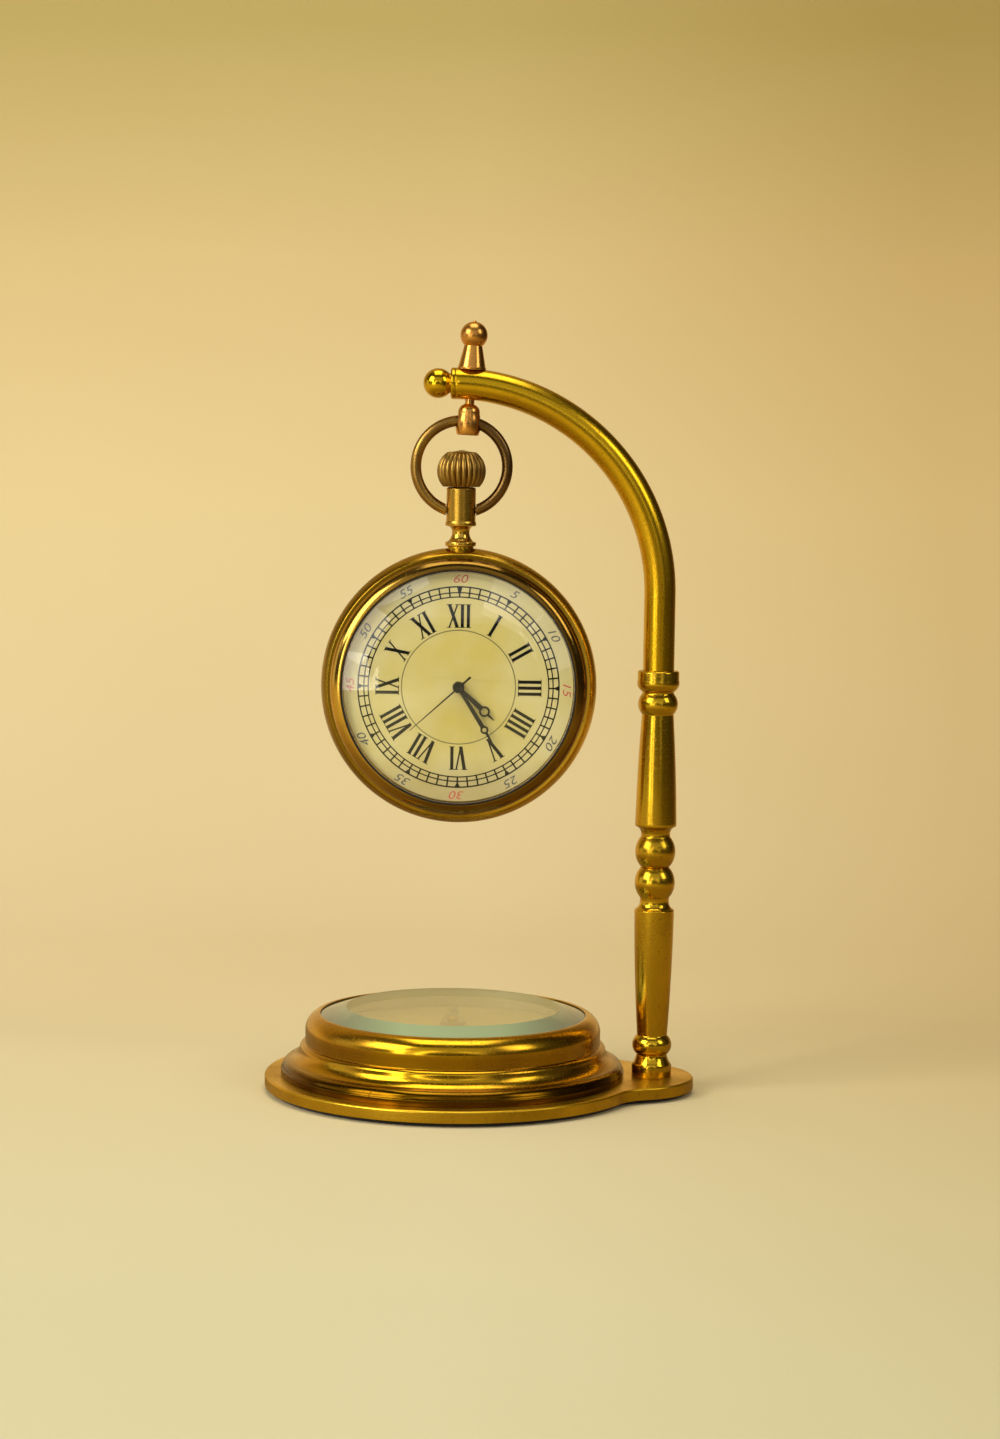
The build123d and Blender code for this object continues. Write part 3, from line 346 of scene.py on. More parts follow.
# Base plate: 2.2 mm brass, sawn to a disc with a lobe, its top edge rounded and its face brushed.
# It carries the compass housing and the post, which are screwed to it from below.
plate_thick = 2.2
plate_top = felt_thick + plate_thick
post_x = 37.2
brass_clean, brass_tarnish = (0.60, 0.35, 0.012), (0.32, 0.165, 0.006)


def new_group(name, inputs, outputs):
    """A shader node group, empty but for its sockets; the node helpers then work in that group."""
    global nodes, links
    group = bpy.data.node_groups.new(name, "ShaderNodeTree")
    for way, sockets in (("INPUT", inputs), ("OUTPUT", outputs)):
        for label, kind in sockets:
            group.interface.new_socket(name=label, in_out=way, socket_type="NodeSocket" + kind)
    nodes, links = group.nodes, group.links
    return group, nodes.new("NodeGroupInput").outputs, nodes.new("NodeGroupOutput").inputs


def group_node(group, **values):
    """A node group placed in the present material, with its own values."""
    node = nodes.new("ShaderNodeGroup")
    node.node_tree = group
    for label, value in values.items():
        feed(node.inputs[label], value)
    return node.outputs


def sum_node(way, first, second=0.0):
    """A Math node, fed by sockets or plain numbers."""
    node = nodes.new("ShaderNodeMath")
    node.operation = way
    feed(node.inputs[0], first)
    feed(node.inputs[1], second)
    return node.outputs[0]


def reach_node(axes):
    """How far a point lies from the upright axis."""
    squares = [sum_node("POWER", axes[name], 2) for name in "XY"]
    return sum_node("SQRT", sum_node("ADD", *squares))


def turned_place(centre, lie):
    """Where a point lies from a centre given in mm, once lie has turned the piece's axis upright."""
    turn = nodes.new("ShaderNodeMapping")
    turn.inputs["Rotation"].default_value = lie
    turn.inputs["Location"].default_value = Euler(lie).to_matrix() @ Vector(centre) * -MM
    links.new(place_node(), turn.inputs["Vector"])
    return turn.outputs["Vector"]


wear, given, out = new_group(
    "worn_metal",
    (("Vector", "Vector"), ("Clean", "Color"), ("Tarnish", "Color"), ("Spread", "Float"),
     ("Polish", "Float")),
    (("Color", "Color"), ("Roughness", "Float"), ("Height", "Float")))
axes = axes_node(given["Vector"])
lathe_place = nodes.new("ShaderNodeCombineXYZ")
links.new(reach_node(axes), lathe_place.inputs["X"])
links.new(axes["Z"], lathe_place.inputs["Z"])
lathe_lines = noise_node(lathe_place.outputs["Vector"], 3200.0, 3.0)
patina = between(noise_node(given["Vector"], 75.0, 5.0), 0.42, 0.66)
patina = sum_node("MULTIPLY", patina, given["Spread"])
pits = between(noise_node(given["Vector"], 1500.0, 3.0), 0.60, 0.74)
worn_colour = mix_node("MIX", patina, given["Clean"], given["Tarnish"])
worn_colour = mix_node("MULTIPLY", sum_node("MULTIPLY", pits, 0.5), worn_colour, (0.42, 0.34, 0.25, 1))
links.new(worn_colour, out["Color"])
rough = sum_node("ADD", given["Polish"], sum_node("MULTIPLY", patina, 0.16))
rough = sum_node("ADD", rough, sum_node("MULTIPLY", lathe_lines, 0.12))
rough = sum_node("ADD", rough, sum_node("MULTIPLY", pits, 0.15))
links.new(sum_node("SUBTRACT", rough, 0.06), out["Roughness"])
links.new(sum_node("SUBTRACT", lathe_lines, sum_node("MULTIPLY", pits, 0.6)), out["Height"])


def metal(name, clean, tarnish, polish, centre=(0, 0, 0), lie=(0, 0, 0), spread=0.6, lines=0.12):
    """Worn metal whose turning lines run round an axis through centre; lie turns that axis upright."""
    material, shader = new_finish(name)
    shader.inputs["Metallic"].default_value = 1.0
    worn = group_node(wear, Vector=turned_place(centre, lie), Clean=(*clean, 1), Tarnish=(*tarnish, 1),
                      Spread=spread, Polish=polish)
    links.new(worn["Color"], shader.inputs["Base Color"])
    links.new(worn["Roughness"], shader.inputs["Roughness"])
    roughen(shader, worn["Height"], lines, 0.00004)
    return material


def finish_node(name, material):
    """Gives a solid of the model, which stays as it is, its finish."""
    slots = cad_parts[name].data.materials
    slots.clear()
    slots.append(material)


plate = flat_blank("base_plate_brass", plate_outline(0.0, felt_thick), (0, 0, plate_thick * MM))
bpy.ops.object.mode_set(mode="OBJECT")
top_level = (plate_top - 0.1) * MM
for vertex in plate.data.vertices:
    vertex.select = vertex.co.z > top_level
for edge in plate.data.edges:
    edge.select = all(plate.data.vertices[v].co.z > top_level for v in edge.vertices)
for face in plate.data.polygons:
    face.select = face.center.z > top_level
bpy.ops.object.mode_set(mode="EDIT")
bpy.ops.mesh.bevel(offset=0.4 * MM, segments=4, affect="EDGES")
soften(plate, 0.12)
plate_brass = metal("plate_brass", (0.78, 0.48, 0.026), (0.46, 0.25, 0.010), polish=0.28, spread=0.75,
                    lines=0.2)
fit(plate, plate_brass, "antique_brass", "stand", "base_plate")
screw_steel = metal("screw_steel", (0.52, 0.50, 0.47), (0.30, 0.27, 0.23), polish=0.32, centre=(post_x, 0, 0))
for name in ("housing_screws", "column_screw", "column_stud"):
    finish_node(name, screw_steel)


# Compass housing: a drum turned from brass bar, with a moulded flange, a bead, a plain wall
# and a rim rolled over the edge of the glass. Three screws hold it to the plate.
def curve_to(start, end, swell):
    """Points of an arc between two corners of a turning profile; swell is its height over the chord."""
    if not swell:
        return [end]
    across, rise = end[0] - start[0], end[1] - start[1]
    chord = math.hypot(across, rise)
    radius = (chord * chord / 4 + swell * swell) / (2 * abs(swell))
    side = math.copysign(1.0, swell)
    out_r, out_h = rise / chord, -across / chord
    middle_r = (start[0] + end[0]) / 2 + out_r * (swell - side * radius)
    middle_h = (start[1] + end[1]) / 2 + out_h * (swell - side * radius)
    half = math.asin(min(1.0, chord / 2 / radius))
    if abs(swell) > radius:
        half = math.pi - half
    steps = max(4, math.ceil(2 * half / math.radians(8)))
    points = []
    for step in range(1, steps + 1):
        turn = -half + 2 * half * step / steps
        sideways, along = side * radius * math.cos(turn), radius * math.sin(turn)
        points.append((middle_r + out_r * sideways + across / chord * along,
                       middle_h + out_h * sideways + rise / chord * along))
    return points


def close_seam(caps=False):
    """Merges the seam of a spun shape, caps its open ends where asked, and turns its faces outwards."""
    bpy.ops.mesh.select_all(action="SELECT")
    bpy.ops.mesh.remove_doubles(threshold=1e-6)
    if caps:
        bpy.ops.mesh.fill_holes(sides=0)
    bpy.ops.mesh.normals_make_consistent(inside=False)


def turned(name, corners, origin=(0, 0, 0), axis=(0, 0, 1), across=(1, 0, 0), edge=0.12, steps=144,
           smooth=40):
    """A piece turned on a lathe from corners of (radius, height, swell of the arc that leads there)."""
    origin, axis, across = Vector(origin), Vector(axis), Vector(across)
    line = [corners[0][:2]]
    for corner in corners[1:]:
        line.extend(curve_to(line[-1], corner[:2], corner[2] if len(corner) > 2 else 0))
    piece = draw(name, [(origin + across * radius + axis * height) * MM for radius, height in line])
    bpy.ops.mesh.spin(steps=steps, angle=2 * math.pi, center=origin * MM, axis=axis)
    close_seam()
    soften(piece, edge, smooth=smooth)
    return piece


def stain(material, axis, low, high, stops):
    """Darkens a finish along one axis, in mm: painted shade, laid over its own colour."""
    global nodes, links
    nodes, links = material.node_tree.nodes, material.node_tree.links
    base = nodes["Principled BSDF"].inputs["Base Color"]
    painted_dark = ramp_node(axes_node(place_node())[axis], low * MM, high * MM, stops)
    links.new(mix_node("MULTIPLY", 1.0, base.links[0].from_socket, painted_dark), base)


drum_top = 14.3
housing = turned("compass_housing_brass", [
    (25.45, plate_top), (32.0, plate_top), (32.0, 4.15), (31.75, 4.4), (30.4, 5.7, 0.337),
    (28.5, 8.0, -0.477), (27.5, 8.8, 0.25), (27.5, 10.8), (25.25, drum_top, 0.749), (24.75, drum_top),
    (24.75, 14.05), (25.45, 13.83), (25.45, plate_top)], steps=192)
drum_brass = metal("drum_brass", (0.60, 0.34, 0.012), (0.36, 0.165, 0.016), polish=0.17)
# Painted shade on the drum: the foot and rounded lip of the flange are darkened strongly, and the plain wall
# a little.
drum_shade_bands = ((0.0, 0.24), (0.20, 0.24), (0.27, 1.0), (0.44, 1.0), (0.52, 0.8), (0.66, 0.8), (0.76, 1.0))
stain(drum_brass, "Z", plate_top, drum_top,
      [(share, (level, level ** 1.15, level ** 1.4)) for share, level in drum_shade_bands])
fit(housing, drum_brass, "antique_brass", "stand", "compass_housing")

# Compass inside: a backing disc, a printed card on it, and a ring that keeps the glass off the card.
# The faded print is a ring of marks and four letters.
card_top, ink_thick, glass_foot, glass_radius = 6.6, 0.02, 10.2, 25.4
aged, given, out = new_group(
    "aged_print",
    (("Vector", "Vector"), ("Middle", "Color"), ("Edge", "Color"), ("Inner", "Float"), ("Outer", "Float"),
     ("Grain", "Float")),
    (("Color", "Color"), ("Height", "Float")))
outwards = between(reach_node(axes_node(given["Vector"])), given["Inner"], given["Outer"])
mottle = between(noise_node(given["Vector"], 120.0, 4.0), 0.35, 0.70)
edge_share = sum_node("MULTIPLY", sum_node("ADD", outwards, mottle), 0.5)
aged_colour = mix_node("MIX", edge_share, given["Middle"], given["Edge"])
fibre = noise_node(given["Vector"], 4500.0, 3.0)
grain_share = sum_node("MULTIPLY", fibre, given["Grain"])
links.new(mix_node("MULTIPLY", grain_share, aged_colour, (0.72, 0.62, 0.42, 1)), out["Color"])
links.new(fibre, out["Height"])


def printed(name, middle, edge, grain, roughness, centre=(0, 0, 0), lie=(0, 0, 0), inner=0.0, outer=0.03):
    """Card, paper, ink and the like: one colour at the middle, one towards the edge, mottled and grained."""
    material, shader = new_finish(name)
    shader.inputs["Roughness"].default_value = roughness
    shader.inputs["Specular IOR Level"].default_value = 0.3
    look = group_node(aged, Vector=turned_place(centre, lie), Middle=(*middle, 1), Edge=(*edge, 1),
                      Inner=inner, Outer=outer, Grain=grain)
    links.new(look["Color"], shader.inputs["Base Color"])
    roughen(shader, look["Height"], 0.1, 0.00003)
    return material


def square_ring(inner, outer, low, high):
    """The profile of a plain ring, for turning."""
    return [(inner, low), (outer, low), (outer, high), (inner, high), (inner, low)]


def joined(name, parts):
    """Several shapes as one piece, at the origin."""
    bpy.ops.object.select_all(action="DESELECT")
    for part in parts:
        part.select_set(True)
    whole = parts[0]
    bpy.context.view_layer.objects.active = whole
    if len(parts) > 1:
        bpy.ops.object.join()
    whole.name = name
    bpy.ops.object.transform_apply(location=True, rotation=True, scale=True)
    return whole


def copied(name, piece, places):
    """Copies of one small piece at each place, joined into one, with their places in the mesh."""
    copies = []
    for place in places:
        copy = piece.copy()
        copy.data = piece.data.copy()
        bpy.context.scene.collection.objects.link(copy)
        copy.matrix_world = place
        copies.append(copy)
    bpy.data.objects.remove(piece)
    return joined(name, copies)


def turn_about(axis, degrees):
    return Matrix.Rotation(math.radians(degrees), 4, axis)


def word(name, text, place, size, lean=0.0, stretch=1.0):
    """A printed number or letter: text made a thin mesh, stretched sideways and set in its place."""
    bpy.ops.object.select_all(action="DESELECT")
    bpy.ops.object.text_add()
    label = bpy.context.object
    label.data.body = text
    label.data.size = size * MM
    label.data.shear = lean
    label.data.align_x = "CENTER"
    label.data.align_y = "CENTER"
    label.data.extrude = 0.01 * MM
    bpy.ops.object.convert(target="MESH")
    label = bpy.context.object
    label.name = name
    label.matrix_world = place @ Matrix.Diagonal((stretch, 1, 1, 1))
    bpy.ops.object.transform_apply(location=True, rotation=True, scale=True)
    return label


backing_board = printed("backing_board", (0.30, 0.24, 0.15), (0.22, 0.17, 0.10), grain=0.8, roughness=0.9)
finish_node("dial_backing", backing_board)
card = turned("compass_card", square_ring(0.4, glass_radius, 6.0, card_top), edge=0.05)
card_paper = printed("card_paper", (0.44, 0.31, 0.13), (0.36, 0.25, 0.10), grain=0.5, roughness=0.7)
fit(card, card_paper, "compass_card", "stand", "compass_dial")
spacer = turned("spacer_ring", square_ring(24.4, glass_radius, card_top, glass_foot), edge=0.08, steps=192)
spacer_metal = metal("spacer_white_metal", (0.56, 0.53, 0.42), (0.42, 0.39, 0.29), polish=0.28)
fit(spacer, spacer_metal, "spacer", "stand", "glass_spacer_ring")

card_ink = printed("card_ink", (0.24, 0.19, 0.09), (0.30, 0.23, 0.11), grain=0.4, roughness=0.55)
marks_out = 23.4
marks = []
for inner, outer in ((18.6, 18.8), (marks_out, 23.8)):
    marks.append(turned("card_ring", square_ring(inner, outer, card_top, card_top + ink_thick), edge=0.004))
for length, width, count in ((1.6, 0.22, 72), (2.6, 0.4, 12)):
    half, marks_in = width / 2, marks_out - length
    corners = ((-half, marks_in), (half, marks_in), (half, marks_out), (-half, marks_out))
    tick_line = [Vector((x, y, card_top)) * MM for x, y in corners]
    tick = flat_blank("card_tick", tick_line, (0, 0, ink_thick * MM))
    bpy.ops.object.mode_set(mode="OBJECT")
    marks.append(copied("card_ticks", tick, [turn_about("Z", 360 / count * n) for n in range(count)]))
for letter, bearing in zip("NESW", (0, 90, 180, 270)):
    spot = turn_about("Z", -bearing) @ Matrix.Translation(Vector((0, 16.0, card_top + ink_thick)) * MM)
    marks.append(word("card_letter", letter, spot, size=4.0))
fit(joined("compass_print", marks), card_ink, "compass_card", "stand")

# Compass needle: a lozenge of blued steel with one bare half, riveted to a brass cap that turns on
# the point of a steel pin.
pivot = turned("compass_pin", [
    (0.0, plate_top), (0.35, plate_top), (0.35, card_top), (1.4, card_top), (0.35, 7.1, -0.12), (0.35, 8.2),
    (0.0, 8.8)], edge=0.04, steps=48)
pin_steel = metal("pin_steel", (0.62, 0.60, 0.55), (0.42, 0.38, 0.32), polish=0.2)
fit(pivot, pin_steel, "steel", "stand", "compass_pivot")

heading, needle_foot, needle_thick = math.radians(90), 7.7, 0.35
needle_line = []
for along, aside in ((18.0, 0), (0.9, 2.3), (0, 2.42), (-0.9, 2.3),
                     (-18.0, 0), (-0.9, -2.3), (0, -2.42), (0.9, -2.3)):
    x = along * math.cos(heading) - aside * math.sin(heading)
    y = along * math.sin(heading) + aside * math.cos(heading)
    needle_line.append(Vector((x, y, needle_foot)) * MM)
needle = flat_blank("compass_needle_steel", needle_line, (0, 0, needle_thick * MM))
soften(needle, 0.1)
needle_blue = metal("needle_blue", (0.035, 0.06, 0.16), (0.05, 0.05, 0.09), polish=0.22, spread=0.5)
needle_colour = nodes["Principled BSDF"].inputs["Base Color"]
bare_half = between(axes_node(turned_place((0, 0, 0), (0, 0, -heading)))["X"], -0.0001, 0.0001)
blued = needle_colour.links[0].from_socket
links.new(mix_node("MIX", bare_half, blued, (0.55, 0.53, 0.49, 1)), needle_colour)
fit(needle, needle_blue, "needle_blue", "needle", "compass_needle")
cap = turned("needle_cap_brass", [
    (0.0, 8.84), (0.39, 8.24), (0.39, 7.4), (1.7, 7.4), (1.7, needle_foot), (1.0, needle_foot), (1.0, 8.84),
    (0.0, 9.34, 0.1)], edge=0.06, steps=64)
fit(cap, metal("cap_brass", brass_clean, brass_tarnish, polish=0.15), "antique_brass", "needle", "needle_cap")

# Compass glass: a thick disc of greenish plate glass with a wide ground and polished bevel,
# laid on the spacer and held by the rolled rim.
glass_shoulder, glass_top, bevel_in = 13.8, 15.5, 19.9
smears, given, out = new_group(
    "finger_smears", (("Vector", "Vector"), ("Strength", "Float")), (("Roughness", "Float"),))
blurs = between(noise_node(given["Vector"], 140.0, 4.0), 0.5, 0.8)
links.new(sum_node("MULTIPLY", blurs, given["Strength"]), out["Roughness"])


def clear(name, tint, smear):
    """Clear glass with faint finger smears; it lets the light through to what lies behind."""
    material, shader = new_finish(name)
    shader.inputs["Transmission Weight"].default_value = 1.0
    shader.inputs["IOR"].default_value = 1.5
    shader.inputs["Base Color"].default_value = (*tint, 1)
    smeared = group_node(smears, Vector=place_node(), Strength=smear)
    links.new(smeared["Roughness"], shader.inputs["Roughness"])
    clear_where(nodes.new("ShaderNodeLightPath").outputs["Is Shadow Ray"], shader, tint)
    return material


glass = turned("compass_glass_disc", [
    (0.0, glass_foot), (glass_radius, glass_foot), (glass_radius, glass_shoulder), (bevel_in, glass_top),
    (0.0, glass_top)], steps=192, smooth=12)
fit(glass, clear("plate_glass", (0.83, 0.88, 0.79), 0.03), "bevelled_glass", "stand", "compass_glass")
bevel_mint, bevel_side_shade = (0.52, 0.66, 0.36), (0.22, 0.25, 0.19)
bevel_glass = clear("bevel_glass", bevel_mint, 0.12)
shader = nodes["Principled BSDF"]
shader.inputs["Transmission Weight"].default_value = 0.35
# Painted shade: the bevel's mint is darkened towards its left and right ends.
aside = sum_node("ABSOLUTE", axes_node(place_node())["X"])
bevel_tint_and_side_shade = ramp_node(aside, 0.0, glass_radius * MM, ((0.35, bevel_mint), (0.9, bevel_side_shade)))
links.new(bevel_tint_and_side_shade, shader.inputs["Base Color"])
glass.data.materials.append(bevel_glass)
for face in glass.data.polygons:
    if face.center.z > (glass_shoulder + 0.1) * MM and face.center.xy.length > (bevel_in + 0.1) * MM:
        face.material_index = 1

# Post: two turned brass columns, one on the other. The lower has a foot, a bead, a swelling shaft and a
# ball; the upper has a ball, a lip, a tapering shaft, a bead and the cup that takes the arm.
lower_tall = 39.3
lower = turned("lower_column_brass", [
    (0.0, 0.0), (3.7, 0.0), (3.7, 2.1), (2.8, 4.1, -0.132), (2.8, 7.7, 0.85), (3.7, 31.3, 0.16),
    (2.7, 33.0, -0.316), (2.7, 33.6), (2.6, lower_tall, 1.1), (0.0, lower_tall)],
    (post_x, 0, plate_top), steps=96)
column_brass = metal("column_brass", (0.64, 0.39, 0.020), (0.34, 0.18, 0.010), polish=0.18,
                     centre=(post_x, 0, 0), spread=0.5)
fit(lower, column_brass, "antique_brass", "stand", "lower_column")
upper = turned("upper_column_brass", [
    (0.0, 0.0), (2.6, 0.0), (2.7, 5.7, 1.1), (2.7, 6.3), (3.85, 7.7, -0.29), (3.85, 8.3), (2.95, 28.5, 0.12),
    (2.95, 32.3, 0.75), (2.95, 32.7), (3.85, 34.9, 0.428), (3.85, 36.35), (3.6, 36.6), (0.0, 36.6)],
    (post_x, 0, plate_top + lower_tall), steps=96)
fit(upper, column_brass, "antique_brass", "stand", "upper_column")

# Arm: a 5.8 mm brass bar, straight at the foot and bent hot to a quarter round. Its foot stands
# in the cup of the column and its tip is bored for the end ball.
arm_thick, arm_foot, bend_x, bend_z = 5.8, 78.9, -1.0, 93.0
bend_centre = Vector((bend_x, 0, bend_z))


def round_blank(name, count, radius, place, lie=(0, 0, 0)):
    """A round outline, to be pulled out to a bar, a wire or a knob, left in edit mode."""
    bpy.ops.object.select_all(action="DESELECT")
    bpy.ops.mesh.primitive_circle_add(vertices=count, radius=radius * MM, location=place * MM, rotation=lie)
    piece = bpy.context.object
    piece.name = name
    bpy.ops.object.transform_apply(location=True, rotation=True, scale=True)
    bpy.ops.object.mode_set(mode="EDIT")
    return piece


arm = round_blank("arm_brass", 48, arm_thick / 2, Vector((post_x, 0, arm_foot)))
bpy.ops.mesh.extrude_region_move(TRANSFORM_OT_translate={"value": (0, 0, (bend_z - arm_foot) * MM)})
bpy.ops.mesh.spin(steps=56, angle=math.pi / 2, center=bend_centre * MM, axis=(0, 1, 0))
close_seam(caps=True)
soften(arm, 0.1)
arm_brass = metal("arm_brass", (0.64, 0.385, 0.012), (0.39, 0.205, 0.009), polish=0.22, centre=bend_centre,
                  lie=(math.pi / 2, 0, 0), spread=0.45)
fit(arm, arm_brass, "antique_brass", "stand", "arm")

# End ball: a collar, a short neck and a ball, turned in one piece from brass bar.
# It is pressed into the bored tip of the arm.
arm_tip_z = bend_z + post_x - bend_x
end_ball = turned("arm_end_ball_brass", [
    (0.0, 0.0), (2.9, 0.0), (2.9, 0.65), (2.65, 0.9), (1.8, 0.9), (1.8, 1.1), (0.05, 5.929, 1.766),
    (0.0, 5.929)], (bend_x, 0, arm_tip_z), axis=(-1, 0, 0), across=(0, 0, 1), steps=72)
end_brass = metal("end_ball_brass", (0.64, 0.39, 0.012), brass_tarnish, polish=0.15, centre=(0, 0, arm_tip_z),
                  lie=(0, math.pi / 2, 0))
fit(end_ball, end_brass, "antique_brass", "stand", "arm_end_ball")

# Hanger: a barrel with a cross hole for the bow, on a shank that passes up through the arm, and a
# finial of a cone and a ball screwed on its end. Both lean three degrees with the arm.
hanger_lean = math.radians(3)
hanger_foot = (-0.2, 0, 93.0)
hanger_axis = (math.sin(hanger_lean), 0, math.cos(hanger_lean))
hanger_across = (math.cos(hanger_lean), 0, -math.sin(hanger_lean))
hole_up, hole_wide, hole_slant = 31.2, 2.6, math.radians(90 + 8)


def cut_away(piece, tool):
    """Takes a tool's shape out of a piece, and leaves the piece selected."""
    cut = piece.modifiers.new("cut", "BOOLEAN")
    cut.object = tool
    cut.operation = "DIFFERENCE"
    bpy.context.view_layer.objects.active = piece
    bpy.ops.object.modifier_apply(modifier=cut.name)
    bpy.data.objects.remove(tool)
    piece.select_set(True)


eye = turned("hanger_eye_brass", [
    (0.0, 28.8), (2.0, 28.8), (2.0, 32.8, 0.35), (0.85, 34.5, 0.369), (0.85, 43.4), (0.0, 43.4)],
    hanger_foot, axis=hanger_axis, across=hanger_across, edge=0.1, steps=64)
bpy.ops.object.select_all(action="DESELECT")
bpy.ops.mesh.primitive_cylinder_add(
    vertices=48, radius=hole_wide / 2 * MM, depth=9 * MM, rotation=(0, hole_slant, 0),
    location=(Vector(hanger_foot) + hole_up * Vector(hanger_axis)) * MM)
cut_away(eye, bpy.context.object)
soften(eye, 0.1)
hanger_brass = metal("hanger_brass", (0.70, 0.34, 0.065), (0.44, 0.19, 0.04), polish=0.20, centre=hanger_foot,
                     lie=(0, -hanger_lean, 0))
fit(eye, hanger_brass, "antique_brass", "stand", "hanger_eye")
finial = turned("hanger_finial_brass", [
    (0.0, 40.8), (2.6, 40.8), (2.6, 41.3), (2.5, 41.3), (1.65, 45.2), (0.3, 49.56, 1.479), (0.3, 49.76),
    (0.0, 49.76)], hanger_foot, axis=hanger_axis, across=hanger_across, steps=72)
fit(finial, hanger_brass, "antique_brass", "stand", "hanger_finial")

# Watch case: a bowed band with a seat for the pendant and a domed back pressed into it, turned from
# bronze-toned brass and toned dark. The band carries painted shade, darker towards its left side.
watch_x, watch_z = 0.2863693, 75.608575
watch_centre = (watch_x, 0, watch_z)
watch_axis, watch_lie = (0, 1, 0), (math.pi / 2, 0, 0)
on_watch = {"centre": watch_centre, "lie": watch_lie}
band = turned("case_band_bronze", [
    (23.0, -2.8), (24.3, -2.8), (24.3, 3.2, 1.2), (23.0, 3.2), (23.0, -2.8)],
    watch_centre, watch_axis, steps=192)
seat = turned("case_seat", [(0.0, 24.2), (2.4, 24.2), (2.4, 25.8), (0.0, 25.8)], watch_centre, edge=0.08,
              steps=64)
band_bronze = metal("band_bronze", (0.80, 0.50, 0.055), (0.50, 0.27, 0.025), polish=0.22, spread=0.5,
                    **on_watch)
# Painted shade: the band is darkened from its right side towards its left.
stain(band_bronze, "X", -25.0, 25.0, ((0.0, (0.38, 0.37, 0.27)), (0.5, (0.54, 0.47, 0.22)), (1.0, white)))
fit(joined("case_band_bronze", [band, seat]), band_bronze, "case_bronze", "watch", "case_band")
back = turned("case_back_bronze", [
    (0.0, 5.2), (22.1, 3.4, -0.45), (22.1, 2.0), (22.95, 2.0), (22.95, 3.2), (24.3, 3.2), (24.3, 3.6),
    (0.0, 6.0, 0.6)], watch_centre, watch_axis, steps=192)
case_bronze = metal("case_bronze", (0.50, 0.29, 0.022), (0.29, 0.15, 0.012), polish=0.22, spread=0.5,
                    **on_watch)
fit(back, case_bronze, "case_bronze", "watch", "case_back")

# Movement: a small battery movement in a moulded ring. The case hides it, so the solid pieces of the
# model stand as they are, each with the finish of its own material.
gilt = metal("movement_gilt", (0.62, 0.47, 0.17), (0.42, 0.30, 0.10), polish=0.28, spread=0.4, **on_watch)
bright_steel = metal("bright_steel", (0.60, 0.59, 0.57), (0.40, 0.38, 0.35), polish=0.22, spread=0.4,
                     **on_watch)
red_copper = metal("wire_copper", (0.62, 0.24, 0.09), (0.35, 0.12, 0.05), polish=0.30, **on_watch)
ring_plastic = printed("ring_plastic", (0.62, 0.61, 0.57), (0.54, 0.52, 0.47), 0.2, 0.5, **on_watch)
board_green = printed("board_green", (0.02, 0.11, 0.05), (0.03, 0.16, 0.07), 0.3, 0.4, **on_watch)
for finish, names in (
        (ring_plastic, ("movement_holder",)),
        (gilt, ("main_plate", "train_bridge", "cannon_pinion", "minute_wheel", "hour_wheel", "dial_washer")),
        (bright_steel, ("bridge_screws", "battery", "battery_clip", "setting_lever", "setting_stem",
                        "seconds_arbor")),
        (red_copper, ("coil",)),
        (board_green, ("circuit_board",))):
    for name in names:
        finish_node(name, finish)

# Dial: a thin disc faced with cream paper, printed with hour numerals, a minute track on three rings,
# and leaning minute numbers outside it. The middle is left plain, and painted shade darkens its lowest part.
face_y, dial_thick, print_thick = -3.6, 0.4, 0.024
dial = turned("watch_dial_paper", square_ring(1.04, 22.05, face_y, face_y + dial_thick), watch_centre,
              watch_axis, edge=0.04, steps=160)
dial_paper = printed("dial_paper", (0.56, 0.45, 0.10), (0.67, 0.60, 0.33), grain=0.35, roughness=0.6,
                     inner=0.006, outer=0.019, **on_watch)
# Painted shade: the lowest part of the dial is darkened.
stain(dial_paper, "Z", 54.0, 63.0, ((0.0, (0.72, 0.68, 0.64)), (0.45, (0.78, 0.74, 0.70)), (1.0, white)))
fit(dial, dial_paper, "dial_paper", "watch", "watch_dial")


def at_hour(degrees, radius, aside=0.0):
    """Place on the dial at a clock angle and radius, feet to the middle, just proud of the paper."""
    middle = Matrix.Translation(Vector((watch_x, face_y - print_thick / 2, watch_z)) * MM)
    return middle @ turn_about("Y", degrees) @ Matrix.Translation(Vector((aside, 0, radius)) * MM)


def inked(name, shapes):
    """Flat shapes of print in one piece, drawn upright about the origin."""
    pieces = []
    for corners in shapes:
        line = [Vector((x, print_thick / 2, z)) * MM for x, z in corners]
        pieces.append(flat_blank(name, line, (0, -print_thick * MM, 0)))
        bpy.ops.object.mode_set(mode="OBJECT")
    return joined(name, pieces)


def dial_ring(name, inner, outer, thick, steps):
    """A printed ring round the middle of the dial."""
    return turned(name, square_ring(inner, outer, face_y - thick, face_y), watch_centre, watch_axis,
                  edge=0.004, steps=steps)


numeral_tall, serif = 4.3, 0.14
serif_at = numeral_tall - serif


def stroke(foot, head, width, low=0.0, high=numeral_tall):
    """One stroke of a numeral from its foot to its head, cut level at both ends."""
    half = width / 2
    return [(foot - half, low), (foot + half, low), (head + half, high), (head - half, high)]


def top_serif(at, width):
    return stroke(at, at, width, serif_at, numeral_tall)


def foot_serif(at, width):
    return stroke(at, at, width, 0, serif)


